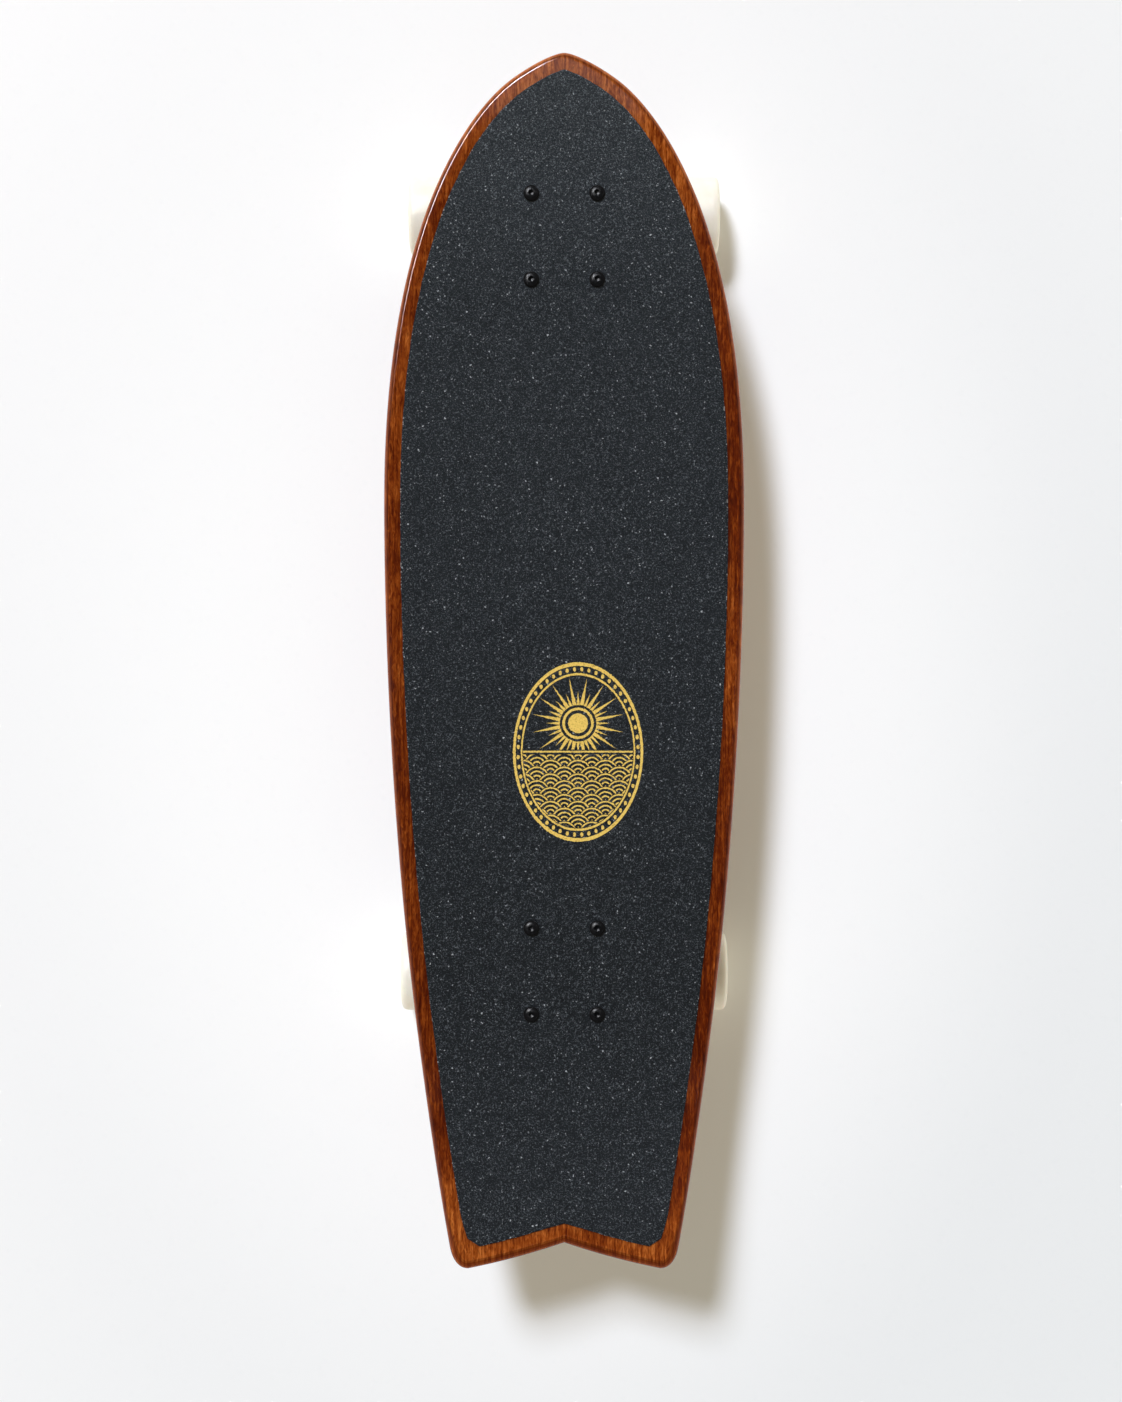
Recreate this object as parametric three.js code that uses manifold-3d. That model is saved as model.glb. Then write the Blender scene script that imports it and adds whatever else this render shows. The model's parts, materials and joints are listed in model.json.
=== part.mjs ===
// A surf skateboard: a wooden deck with a pointed nose and a swallow tail, a spring-centred swing-arm
// truck under the nose and a plain truck on a tall riser under the tail.
// Millimetres, +Z up, nose towards +Y. The wheels stand on the plane z = 0 and the origin lies under
// the middle of the deck.
import * as THREE from "three";
import { mergeVertices } from "three/addons/utils/BufferGeometryUtils.js";
import Module from "manifold-3d";

const wasm = await Module();
wasm.setup();

// Deck
const deckThickness = 11;
const deckHalfWidth = 113;
const deckHalfLength = 378.7;
const railRadius = 4.5;
const railFacetAngle = 30;
const concaveRise = 4;
const concaveFlatHalfWidth = 30;
const tailKickLength = 138.7;
const tailKickBlendLength = 70;
const tailKickAngle = 12;
const noseLiftLength = 80.7;
const noseLiftBlendLength = 60;
const noseLiftAngle = 7;

// Grip tape
const gripThickness = 0.9;
const gripInset = 10.6;
const gripGap = 0.3;

// Mounting holes and hardware
const holeSpacingWide = 41.275;
const holeSpacingLong = 53.975;
const frontPatternFromNose = 114.7;
const rearPatternFromTail = 182.1;
const boltRadius = 2.4;
const boltHoleGap = 0.35;
const boltHeadRadius = 5;
const boltHeadHeight = 2.7;
const boltHeadRim = 0.7;
const boltHeadCrownRadius = 3.1;
const boltSocketFlats = 3.2;
const boltSocketDepth = 1.6;
const boltTail = 0.9;
const deckNutFlats = 9.5;
const deckNutHeight = 5;
const threadGap = 0.15;

// Risers
const frontRiserThickness = 2;
const riserMargin = 1;
const riserWindowShare = 0.3;

// Clearances
const seatGap = 0.2;
const fitGap = 0.2;
const headFacetGap = 0.1;
const overrun = 3;

// Wheels and bearings
const wheelRadius = 26;
const wheelWidth = 32;
const wheelLip = 4;
const wheelFaceRadius = 15;
const wheelCoreRadius = 7.6;
const bearingRadius = 11;
const bearingWidth = 7;
const bearingSpacing = 10;
const bearingBoreGap = 0.2;
const coreInset = 2.4;
const frontWheelFace = 102;
const rearWheelFace = 107;

// Axles
const axleRadius = 3.97;
const axleNutFlats = 12.7;
const axleNutHeight = 5;
const axleTail = 0.6;

// Hanger and its kingpin stack, measured from the middle of the seat's top face
const truckHeight = 56;
const axleOffset = 9.2;
const kingpinOffset = 2;
const kingpinLean = 22;
const kingpinRadius = 4.76;
const kingpinHeadFlats = 14;
const kingpinHeadDepth = 4.2;
const kingpinHeadHeight = 5;
const kingpinNutFlats = 14.3;
const kingpinNutHeight = 7;
const kingpinTail = 2;
const bossDepth = 16;
const bossRadius = 12.5;
const upperBushingHeight = 14;
const lowerBushingHeight = 11;
const bushingRadius = 11.5;
const bushingNarrowRadius = 8.6;
const stackGap = 0.3;
const ringThickness = 8.4;
const ringRadius = 16;
const ringHoleRadius = 7.5;
const washerThickness = 1.8;
const washerRadius = 10.6;
const washerCup = 1.2;
const stackClearRadius = 12.9;
const pivotY = 25;
const pivotZ = -11;
const pivotTipRadius = 5.4;
const pivotTipLength = 14;
const pivotNeckRadius = 7;
const neckGap = 1.2;
const pivotTipEnd = 1;
const pivotCupWall = 2.6;
const pivotCupFloor = 1.7;
const pivotCupMouth = 5;
const pivotBossRadius = 10.8;
const pivotBossEnd = 8;
const hangerMiddleRadius = 12.5;
const hangerEndRadius = 8.3;
const hangerShoulderRadius = 6.1;
const hangerWheelGap = 1.2;
const yokeHalfWidth = 40;
const yokeTopHalfWidth = 14;
const yokeTopZ = -33;
const yokeThickness = 11;
const linkHalfWidth = 12;

// Rear baseplate
const plateHalfWidth = 28;
const plateHalfLength = 40;
const plateThickness = 5.5;
const plateCornerRadius = 9;
const plateBevel = 1;

// Front baseplate and swing arm
const frontPlateHalfWidth = 30;
const frontPlateInboard = 47;
const frontPlateOutboard = 41;
const frontPlateThickness = 10;
const nutPocketRadius = 7;
const nutPocketFloor = 3.4;
const swingPinY = -26;
const swingPinZ = -15.5;
const swingPinTilt = 15;
const swingPinRadius = 6;
const swingPinHeadRadius = 9;
const swingPinHeadHeight = 4;
const swingPinHeadDepth = 3;
const swingBossRadius = 15;
const swingBossGap = 1.3;
const thrustWasherThickness = 1.7;
const hubRadius = 15.5;
const hubHeight = 15;
const sleeveWall = 1.6;
const retainerFlats = 21;
const retainerHeight = 6;
const swingPinTail = 1.3;
const armDrop = 14.2;
const armSeatY = 20.3;
const armThickness = 12;
const armHubHalfWidth = 13;
const armEndHalfWidth = 16;
const armInboardY = -20;
const armOutboardY = 54;
const armBevel = 1;
const armGussetHalfWidth = 11;

// Return spring
const springWire = 2.8;
const springRadius = 10;
const springPitch = 4.2;
const springTurns = 3.5;
const springBendRadius = 2;
const springTurnInSteps = 3;
const springSteps = 8;
const springSides = 5;

// Numbers of facets
const wheelSides = 28;
const bearingSides = 12;
const roundSides = 16;
const smallSides = 10;
const lobeCount = 3;
const cornerCount = 2;
const flankCount = 13;
const weldTolerance = 1e-4;

// Places that follow from the sizes above
const degree = Math.PI / 180;
const frontPatternY = deckHalfLength - frontPatternFromNose;
const rearPatternY = rearPatternFromTail - deckHalfLength;
const tailKickStart = deckHalfLength - tailKickLength;
const noseLiftStart = deckHalfLength - noseLiftLength;
const axleZ = wheelRadius * Math.cos(Math.PI / wheelSides);
const rearPlateTopZ = axleZ + truckHeight;
const frontPlateTopZ = axleZ + armDrop + truckHeight;
const deckBottomZ = frontPlateTopZ + frontRiserThickness + 2 * seatGap;
const deckTopZ = deckBottomZ + deckThickness;
const rearRiserThickness = deckBottomZ - rearPlateTopZ - 2 * seatGap;
const boltHoleRadius = boltRadius + boltHoleGap;

const board = new THREE.Group();

// Solids

function solidOf(geometry) {
  const loose = geometry.index ? geometry.toNonIndexed() : geometry;
  const bare = new THREE.BufferGeometry();
  bare.setAttribute("position", loose.getAttribute("position"));
  const merged = mergeVertices(bare, weldTolerance);
  const corners = merged.index.array;
  const triangles = [];
  for (let i = 0; i < corners.length; i += 3) {
    const [a, b, c] = corners.subarray(i, i + 3);
    if (a !== b && b !== c && c !== a) triangles.push(a, b, c);
  }
  const made = new wasm.Mesh({
    numProp: 3,
    vertProperties: merged.attributes.position.array,
    triVerts: new Uint32Array(triangles),
  });
  return new wasm.Manifold(made);
}

function geometryOf(solid) {
  const mesh = solid.getMesh();
  const geometry = new THREE.BufferGeometry();
  const positions = new Float32Array(mesh.vertProperties);
  geometry.setAttribute("position", new THREE.BufferAttribute(positions, 3));
  geometry.setIndex(new THREE.BufferAttribute(new Uint32Array(mesh.triVerts), 1));
  return geometry;
}

function join(first, ...others) {
  let whole = solidOf(first);
  for (const other of others) whole = whole.add(solidOf(other));
  return geometryOf(whole);
}

function cut(body, ...tools) {
  let left = solidOf(body);
  for (const tool of tools) left = left.subtract(solidOf(tool));
  return geometryOf(left);
}

// A body turned about +Z from [radius, height] points, which start and end on the axis or close on
// themselves.
function turned(profile, sides, phase = 0) {
  const twiceArea = profile.reduce((sum, [r, z], i) => {
    const [nextR, nextZ] = profile[(i + 1) % profile.length];
    return sum + r * nextZ - nextR * z;
  }, 0);
  const ordered = twiceArea > 0 ? profile : [...profile].reverse();
  const points = ordered.map(([r, z]) => new THREE.Vector2(r, z));
  const lathe = new THREE.LatheGeometry(points, sides, phase, 2 * Math.PI);
  return lathe.rotateX(90 * degree);
}

function rod(radius, low, high, sides = roundSides, phase = 0) {
  return turned([[0, low], [radius, low], [radius, high], [0, high]], sides, phase);
}

function tube(inner, outer, low, high, sides = roundSides, phase = 0) {
  const profile = [[inner, low], [outer, low], [outer, high], [inner, high], [inner, low]];
  return turned(profile, sides, phase);
}

function hexagon(flats, low, high) {
  return rod(flats / Math.sqrt(3), low, high, 6);
}

// A plate of the given outline, from low to high, with its edges broken by a bevel.
function plate(shape, low, high, bevel = 0) {
  const options = {
    depth: high - low - 2 * bevel,
    steps: 1,
    curveSegments: 4,
    bevelEnabled: bevel > 0,
    bevelThickness: bevel,
    bevelSize: bevel,
    bevelOffset: -bevel,
    bevelSegments: 1,
  };
  return new THREE.ExtrudeGeometry(shape, options).translate(0, 0, low + bevel);
}

// A slab across the board: its side view is a list of [y, z] points, its thickness runs along X.
function slab(points, halfWidth) {
  const shape = new THREE.Shape(points.map(([y, z]) => new THREE.Vector2(y, z)));
  const options = { depth: 2 * halfWidth, steps: 1, bevelEnabled: false };
  const flat = new THREE.ExtrudeGeometry(shape, options).translate(0, 0, -halfWidth);
  return flat.applyMatrix4(new THREE.Matrix4().set(0, 0, 1, 0, 1, 0, 0, 0, 0, 1, 0, 0, 0, 0, 0, 1));
}

function roundedRectangle(left, right, bottom, top, radius) {
  const shape = new THREE.Shape();
  shape.moveTo(left + radius, bottom);
  shape.lineTo(right - radius, bottom);
  shape.absarc(right - radius, bottom + radius, radius, -90 * degree, 0, false);
  shape.lineTo(right, top - radius);
  shape.absarc(right - radius, top - radius, radius, 0, 90 * degree, false);
  shape.lineTo(left + radius, top);
  shape.absarc(left + radius, top - radius, radius, 90 * degree, 180 * degree, false);
  shape.lineTo(left, bottom + radius);
  shape.absarc(left + radius, bottom + radius, radius, 180 * degree, 270 * degree, false);
  return shape;
}

// A frame in the board's middle plane: its origin is at (y, z) and its +Z leans towards +Y by lean degrees.
function framed(geometry, y, z, lean) {
  return geometry.clone().rotateX(-lean * degree).translate(0, y, z);
}

function frameGroup(parent, y, z, lean) {
  const group = new THREE.Group();
  group.position.set(0, y, z);
  group.rotation.x = -lean * degree;
  parent.add(group);
  return group;
}

function piece(parent, name, geometry, look) {
  const mesh = new THREE.Mesh(geometry, new THREE.MeshStandardMaterial(look));
  mesh.name = name;
  parent.add(mesh);
  return mesh;
}

// Materials
const mahogany = { color: 0x6b2c0d, roughness: 0.25, metalness: 0 };
const grip = { color: 0x33383d, roughness: 0.95, metalness: 0 };
const blackSteel = { color: 0x101010, roughness: 0.25, metalness: 0.6 };
const zincSteel = { color: 0xb9bcc0, roughness: 0.3, metalness: 1 };
const springSteel = { color: 0x3a3d42, roughness: 0.3, metalness: 1 };
const castMetal = { color: 0x9a9da0, roughness: 0.45, metalness: 1 };
const blackCasting = { color: 0x17181a, roughness: 0.5, metalness: 0.3 };
const urethane = { color: 0xf0ebdc, roughness: 0.4, metalness: 0 };
const bushingUrethane = { color: 0xd9c7a0, roughness: 0.5, metalness: 0 };
const blackPlastic = { color: 0x1c1c1d, roughness: 0.6, metalness: 0 };
const bronze = { color: 0xa87a3e, roughness: 0.35, metalness: 1 };
const bearingSteel = { color: 0xc9ccd0, roughness: 0.2, metalness: 1 };

// The deck's outline. Its points are shares of the half width and of the half length; the nose is +1.
const outlineShares = {
  noseTip: [[0, 1], [0.053, 1], [0.177, 0.982], [0.287, 0.959]],
  noseFlank: [[0.287, 0.959], [0.533, 0.9077], [1, 0.726], [1, 0.259]],
  tailFlank: [[1, 0.259], [1, 0.168], [1, -0.411], [0.63, -0.9634]],
  tailCorner: [[0.63, -0.9634], [0.6177, -0.984], [0.584, -1], [0.5265, -1]],
  tailLobe: [[0.5265, -1], [0.352, -0.9906], [0.177, -0.9772], [0, -0.96]],
};

const tailCrowdingShare = 0.3;

function outlineCurve(name) {
  const points = outlineShares[name].map(
    ([across, along]) => new THREE.Vector2(across * deckHalfWidth, along * deckHalfLength),
  );
  return new THREE.CubicBezierCurve(...points);
}

// Points of a curve from its share `from` to its share `to`, the first left out. They stand closer
// together at the start by the crowding share.
function stepsOf(curve, from, to, count, crowdingShare = 0) {
  const points = [];
  for (let k = 1; k <= count; k += 1) {
    const even = k / count;
    const along = even - crowdingShare * even * (1 - even);
    points.push(curve.getPoint(from + (to - from) * along));
  }
  return points;
}

// The right half of the outline, inset by a distance, as the tail row, the flank and the nose row.
function halfOutline(inset) {
  const corner = outlineCurve("tailCorner");
  const lobe = outlineCurve("tailLobe");
  const tail = [
    lobe.getPoint(1),
    ...stepsOf(lobe, 1, 0, lobeCount),
    ...stepsOf(corner, 1, 0.5, cornerCount),
  ];
  const flank = [
    ...stepsOf(corner, 0.5, 0, cornerCount),
    ...stepsOf(outlineCurve("tailFlank"), 1, 0, flankCount, tailCrowdingShare),
    ...stepsOf(outlineCurve("noseFlank"), 1, 0, flankCount),
  ];
  const nose = stepsOf(outlineCurve("noseTip"), 1, 0, lobeCount + cornerCount);
  const run = [...tail, ...flank, ...nose];
  const mirrored = (p) => new THREE.Vector2(-p.x, p.y);
  const moved = run.map((point, i) => {
    const before = i > 0 ? run[i - 1] : mirrored(run[1]);
    const after = i < run.length - 1 ? run[i + 1] : mirrored(run[i - 1]);
    const back = point.clone().sub(before).normalize();
    const ahead = after.clone().sub(point).normalize();
    const normal = new THREE.Vector2(-(back.y + ahead.y), back.x + ahead.x).normalize();
    const mitre = normal.x * -ahead.y + normal.y * ahead.x;
    return point.clone().addScaledVector(normal, inset / mitre);
  });
  const rowLength = tail.length;
  return {
    tail: moved.slice(0, rowLength),
    flank: moved.slice(rowLength - 1, moved.length - rowLength + 1),
    nose: moved.slice(moved.length - rowLength).reverse(),
  };
}

// How far the board's surface rises at a place, from its tail kick, its nose lift and its concave.
function rampRise(run, blend, angle) {
  const slope = Math.tan(angle * degree);
  if (run <= 0) return 0;
  return run < blend ? (slope * run * run) / (2 * blend) : slope * (run - blend / 2);
}

function surfaceRise(x, y) {
  const across = Math.max(0, Math.abs(x) - concaveFlatHalfWidth) / (deckHalfWidth - concaveFlatHalfWidth);
  const concave = concaveRise * across ** 2;
  const kick = rampRise(-y - tailKickStart, tailKickBlendLength, tailKickAngle);
  const lift = rampRise(y - noseLiftStart, noseLiftBlendLength, noseLiftAngle);
  return concave + kick + lift;
}

// What is left of an end row's curve at a share of the way from the board's middle to that end.
function endFade(share) {
  const left = Math.max(0, share);
  return left * left * left;
}

// A grid of points that fills the inset outline: rows run across the board, from the tail to the nose.
function surfaceGrid(inset) {
  const { tail, flank, nose } = halfOutline(inset);
  const half = tail.length - 1;
  const last = flank.length - 1;
  const tailCorner = tail[half];
  const noseCorner = nose[half];
  const rows = flank.map((edge, row) => {
    const along = row / last;
    const points = [];
    for (let column = -half; column <= half; column += 1) {
      const k = Math.abs(column);
      const acrossShare =
        (1 - along) * (tail[k].x / tailCorner.x) + along * (nose[k].x / noseCorner.x);
      const tailPull = (tail[k].y - tailCorner.y) * endFade(1 - 2 * along);
      const nosePull = (nose[k].y - noseCorner.y) * endFade(2 * along - 1);
      const x = Math.sign(column) * acrossShare * edge.x;
      points.push(new THREE.Vector2(x, edge.y + tailPull + nosePull));
    }
    return points;
  });
  return rows;
}

// The rim of a grid, counter-clockwise as seen from above, from the tail's left end.
function rimOf(rows) {
  const last = rows.length - 1;
  const width = rows[0].length - 1;
  const tail = rows[0].slice(0, width);
  const right = rows.slice(0, last).map((row) => row[width]);
  const nose = rows[last].slice(1).reverse();
  const left = rows.slice(1).map((row) => row[0]).reverse();
  return [...tail, ...right, ...nose, ...left];
}

// A closed board-shaped body. Each layer is [inset, height]; the first is its floor, the last its top.
function boardBody(layers) {
  const positions = [];
  const triangles = [];
  const corner = (p, height) => {
    positions.push(p.x, p.y, deckTopZ + height + surfaceRise(p.x, p.y));
    return positions.length / 3 - 1;
  };
  const face = ([inset, height], up) => {
    const rows = surfaceGrid(inset);
    const ids = rows.map((row) => row.map((p) => corner(p, height)));
    for (let r = 0; r + 1 < ids.length; r += 1) {
      for (let c = 0; c + 1 < ids[r].length; c += 1) {
        const [a, b, d, e] = [ids[r][c], ids[r][c + 1], ids[r + 1][c], ids[r + 1][c + 1]];
        if (up) triangles.push(a, b, e, a, e, d);
        else triangles.push(a, e, b, a, d, e);
      }
    }
  };
  face(layers[0], false);
  face(layers[layers.length - 1], true);
  const rims = layers.map(([inset, height]) =>
    rimOf(surfaceGrid(inset)).map((p) => corner(p, height)),
  );
  for (let k = 0; k + 1 < rims.length; k += 1) {
    const [low, high] = [rims[k], rims[k + 1]];
    low.forEach((start, i) => {
      const next = (i + 1) % low.length;
      triangles.push(start, low[next], high[next], start, high[next], high[i]);
    });
  }
  const geometry = new THREE.BufferGeometry();
  geometry.setAttribute("position", new THREE.Float32BufferAttribute(positions, 3));
  geometry.setIndex(triangles);
  return geometry;
}

function holePlaces(patternY) {
  const places = [];
  for (const sideY of [1, -1]) {
    for (const sideX of [-1, 1]) {
      places.push([(sideX * holeSpacingWide) / 2, patternY + (sideY * holeSpacingLong) / 2]);
    }
  }
  return places;
}

const allHoles = [...holePlaces(frontPatternY), ...holePlaces(rearPatternY)];

function makeDeck() {
  const arc = (angle) => railRadius * (1 - Math.cos(angle * degree));
  const rise = (angle) => railRadius * (1 - Math.sin(angle * degree));
  const floor = -deckThickness;
  const layers = [
    [railRadius, floor],
    [arc(railFacetAngle), floor + rise(railFacetAngle)],
    [0, floor + railRadius],
    [0, -railRadius],
    [arc(railFacetAngle), -rise(railFacetAngle)],
    [arc(2 * railFacetAngle), -rise(2 * railFacetAngle)],
    [railRadius, 0],
  ];
  const low = deckBottomZ - overrun;
  const high = deckTopZ + overrun;
  const drills = allHoles.map(([x, y]) =>
    rod(boltHoleRadius, low, high, smallSides).translate(x, y, 0),
  );
  piece(board, "deck", cut(boardBody(layers), ...drills), mahogany);
}

const gripLayers = [
  [gripInset, gripGap],
  [gripInset, gripGap + gripThickness],
];

function makeGripTape() {
  const high = deckTopZ + gripThickness + overrun;
  const drills = allHoles.map(([x, y]) =>
    rod(boltHoleRadius, deckTopZ, high, smallSides).translate(x, y, 0),
  );
  piece(board, "grip_tape", cut(boardBody(gripLayers), ...drills), grip);
}

// The highest place of the grip tape's facets under a bolt's head.
function tapeTopUnderHead(x, y) {
  const rise = surfaceRise(Math.abs(x) + boltHeadRadius, y + Math.sign(y) * boltHeadRadius);
  const high = deckTopZ + gripGap + gripThickness + rise + overrun;
  const column = rod(boltHeadRadius, deckTopZ, high, smallSides).translate(x, y, 0);
  return solidOf(boardBody(gripLayers)).intersect(solidOf(column)).boundingBox().max[2];
}

// A truck's frame: its origin is the middle of the baseplate's top face and its +Y points away from
// the middle of the board.
function truckFrame(patternY, topZ) {
  const frame = new THREE.Group();
  frame.position.set(0, patternY, topZ);
  if (patternY < 0) frame.rotation.z = Math.PI;
  board.add(frame);
  return frame;
}

function makeRiser(name, frame, outline, thickness, window) {
  const body = plate(outline, seatGap, seatGap + thickness);
  const drills = holePlaces(0).map(([x, y]) =>
    rod(boltHoleRadius, 0, thickness + overrun, smallSides).translate(x, y, 0),
  );
  const opening = plate(window, 0, thickness + overrun);
  piece(frame, name, cut(body, ...drills, opening), blackPlastic);
}

function boltBody(headSeat, end) {
  const headTop = headSeat + boltHeadHeight;
  const head = turned(
    [
      [0, headSeat],
      [boltHeadRadius, headSeat],
      [boltHeadRadius, headSeat + boltHeadRim],
      [boltHeadCrownRadius, headTop],
      [0, headTop],
    ],
    smallSides,
  );
  const shank = rod(boltRadius, end, headSeat + boltHeadRim, smallSides);
  const socket = hexagon(boltSocketFlats, headTop - boltSocketDepth, headTop + overrun);
  return cut(join(head, shank), socket);
}

// Bolts hang from the grip tape through deck, riser and plate; underside is where the nuts seat. Where
// the tape rises under a head, the head sits higher.
function makeHardware(frame, riserThickness, underside, firstNumber) {
  const flatSeat = 2 * seatGap + riserThickness + deckThickness + gripGap + gripThickness + seatGap;
  const nutTop = underside - seatGap;
  const nutBottom = nutTop - deckNutHeight;
  const nutBore = rod(boltRadius + threadGap, nutBottom - overrun, nutTop + overrun, smallSides);
  const nut = cut(hexagon(deckNutFlats, nutBottom, nutTop), nutBore);
  holePlaces(0).forEach(([x, y], i) => {
    const number = firstNumber + i;
    const place = new THREE.Vector3(x, y, 0).applyEuler(frame.rotation).add(frame.position);
    const facetSeat = tapeTopUnderHead(place.x, place.y) + headFacetGap - frame.position.z;
    const bolt = boltBody(Math.max(flatSeat, facetSeat), nutBottom - boltTail);
    piece(frame, `deck_bolt_${number}`, bolt, blackSteel).position.set(x, y, 0);
    piece(frame, `deck_nut_${number}`, nut, zincSteel).position.set(x, y, 0);
  });
}

// Places along the kingpin, from the seat's top face downwards.
const bushingTop = bossDepth + stackGap;
const bushingBottom = bushingTop + upperBushingHeight;
const ringTop = bushingBottom + stackGap;
const ringBottom = ringTop + ringThickness;
const lowerBushingTop = ringBottom + stackGap;
const lowerBushingBottom = lowerBushingTop + lowerBushingHeight;
const washerTop = lowerBushingBottom + stackGap;
const washerBottom = washerTop + washerThickness;
const kingpinNutTop = washerBottom + stackGap;
const kingpinNutBottom = kingpinNutTop + kingpinNutHeight;
const kingpinEnd = kingpinNutBottom + kingpinTail;

// The steering axis runs from the middle of the hanger's ring to the pivot tip in its cup.
const ringMiddle = (ringTop + ringBottom) / 2;
const ringY = -kingpinOffset - ringMiddle * Math.sin(kingpinLean * degree);
const ringZ = -ringMiddle * Math.cos(kingpinLean * degree);
const steeringLean = Math.atan2(pivotY - ringY, pivotZ - ringZ) / degree;
const pivotSocketRadius = pivotTipRadius + stackGap + pivotCupWall;
const pivotCupEnd = pivotTipEnd + stackGap + pivotCupFloor;

const onKingpin = (geometry) => framed(geometry, -kingpinOffset, 0, kingpinLean);
const onSteeringAxis = (geometry) => framed(geometry, pivotY, pivotZ, steeringLean);

// What a hanger needs of its seat: a boss for the kingpin and one for the pivot cup.
function seatBosses() {
  return [
    onKingpin(rod(bossRadius, -bossDepth, 0)),
    onSteeringAxis(rod(pivotBossRadius, -pivotCupMouth, pivotBossEnd)),
  ];
}

function seatCuts() {
  const headBottom = kingpinHeadDepth + kingpinHeadHeight + fitGap;
  const reach = truckHeight;
  const above = plate(roundedRectangle(-reach, reach, -reach, reach, plateCornerRadius), 0, reach);
  return [
    above,
    onKingpin(rod(stackClearRadius, -kingpinEnd, -bossDepth)),
    onKingpin(rod(kingpinRadius + fitGap, -bossDepth - overrun, 0, smallSides)),
    onKingpin(hexagon(kingpinHeadFlats + 2 * fitGap, -headBottom, kingpinHeadDepth)),
    onSteeringAxis(rod(pivotSocketRadius + fitGap, -pivotCupMouth - overrun, pivotCupEnd + fitGap)),
    onSteeringAxis(rod(pivotNeckRadius + neckGap, -pivotTipLength - overrun, -pivotCupMouth)),
  ];
}

function makeRearBaseplate(frame) {
  const outline = roundedRectangle(
    -plateHalfWidth,
    plateHalfWidth,
    -plateHalfLength,
    plateHalfLength,
    plateCornerRadius,
  );
  const drills = holePlaces(0).map(([x, y]) =>
    rod(boltHoleRadius, -plateThickness - overrun, overrun, smallSides).translate(x, y, 0),
  );
  const body = join(plate(outline, -plateThickness, 0, plateBevel), ...seatBosses());
  piece(frame, "rear_baseplate", cut(body, ...seatCuts(), ...drills), castMetal);
}

// Kingpin, bushings, washer, nut and pivot cup, in a frame whose origin is the seat's top face.
function makeKingpinStack(frame, prefix) {
  const stack = frameGroup(frame, -kingpinOffset, 0, kingpinLean);
  const bore = kingpinRadius + fitGap;
  const headBottom = kingpinHeadDepth + kingpinHeadHeight;
  const kingpin = join(
    hexagon(kingpinHeadFlats, -headBottom, -kingpinHeadDepth),
    rod(kingpinRadius, -kingpinEnd, -headBottom + seatGap, smallSides),
  );
  piece(stack, `${prefix}_kingpin`, kingpin, blackSteel);
  const barrelMiddle = (bushingTop + bushingBottom) / 2;
  const barrel = turned(
    [
      [bore, -bushingTop],
      [bushingNarrowRadius + washerCup, -bushingTop],
      [bushingRadius, -barrelMiddle],
      [bushingNarrowRadius + washerCup, -bushingBottom],
      [bore, -bushingBottom],
      [bore, -bushingTop],
    ],
    roundSides,
  );
  piece(stack, `${prefix}_bushing_upper`, barrel, bushingUrethane);
  const cone = turned(
    [
      [bore, -lowerBushingTop],
      [bushingRadius, -lowerBushingTop],
      [bushingNarrowRadius, -lowerBushingBottom],
      [bore, -lowerBushingBottom],
      [bore, -lowerBushingTop],
    ],
    roundSides,
  );
  piece(stack, `${prefix}_bushing_lower`, cone, bushingUrethane);
  const washer = turned(
    [
      [bore, -washerTop],
      [bushingNarrowRadius + stackGap, -washerTop],
      [washerRadius, -washerTop + washerCup],
      [washerRadius, -washerTop - washerThickness + washerCup],
      [bushingNarrowRadius, -washerBottom],
      [bore, -washerBottom],
      [bore, -washerTop],
    ],
    roundSides,
  );
  piece(stack, `${prefix}_washer`, washer, zincSteel);
  const nutBody = hexagon(kingpinNutFlats, -kingpinNutBottom, -kingpinNutTop);
  const nutBore = rod(
    kingpinRadius + threadGap,
    -kingpinNutBottom - overrun,
    -kingpinNutTop + overrun,
    smallSides,
  );
  piece(stack, `${prefix}_kingpin_nut`, cut(nutBody, nutBore), zincSteel);

  const pivotFrame = frameGroup(frame, pivotY, pivotZ, steeringLean);
  const cupBore = pivotTipRadius + stackGap;
  const cup = turned(
    [
      [0, pivotTipEnd + stackGap],
      [cupBore, pivotTipEnd + stackGap],
      [cupBore, -pivotCupMouth],
      [pivotSocketRadius, -pivotCupMouth],
      [pivotSocketRadius, pivotCupEnd],
      [0, pivotCupEnd],
    ],
    roundSides,
  );
  piece(pivotFrame, `${prefix}_pivot_cup`, cup, blackPlastic);
}

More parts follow.
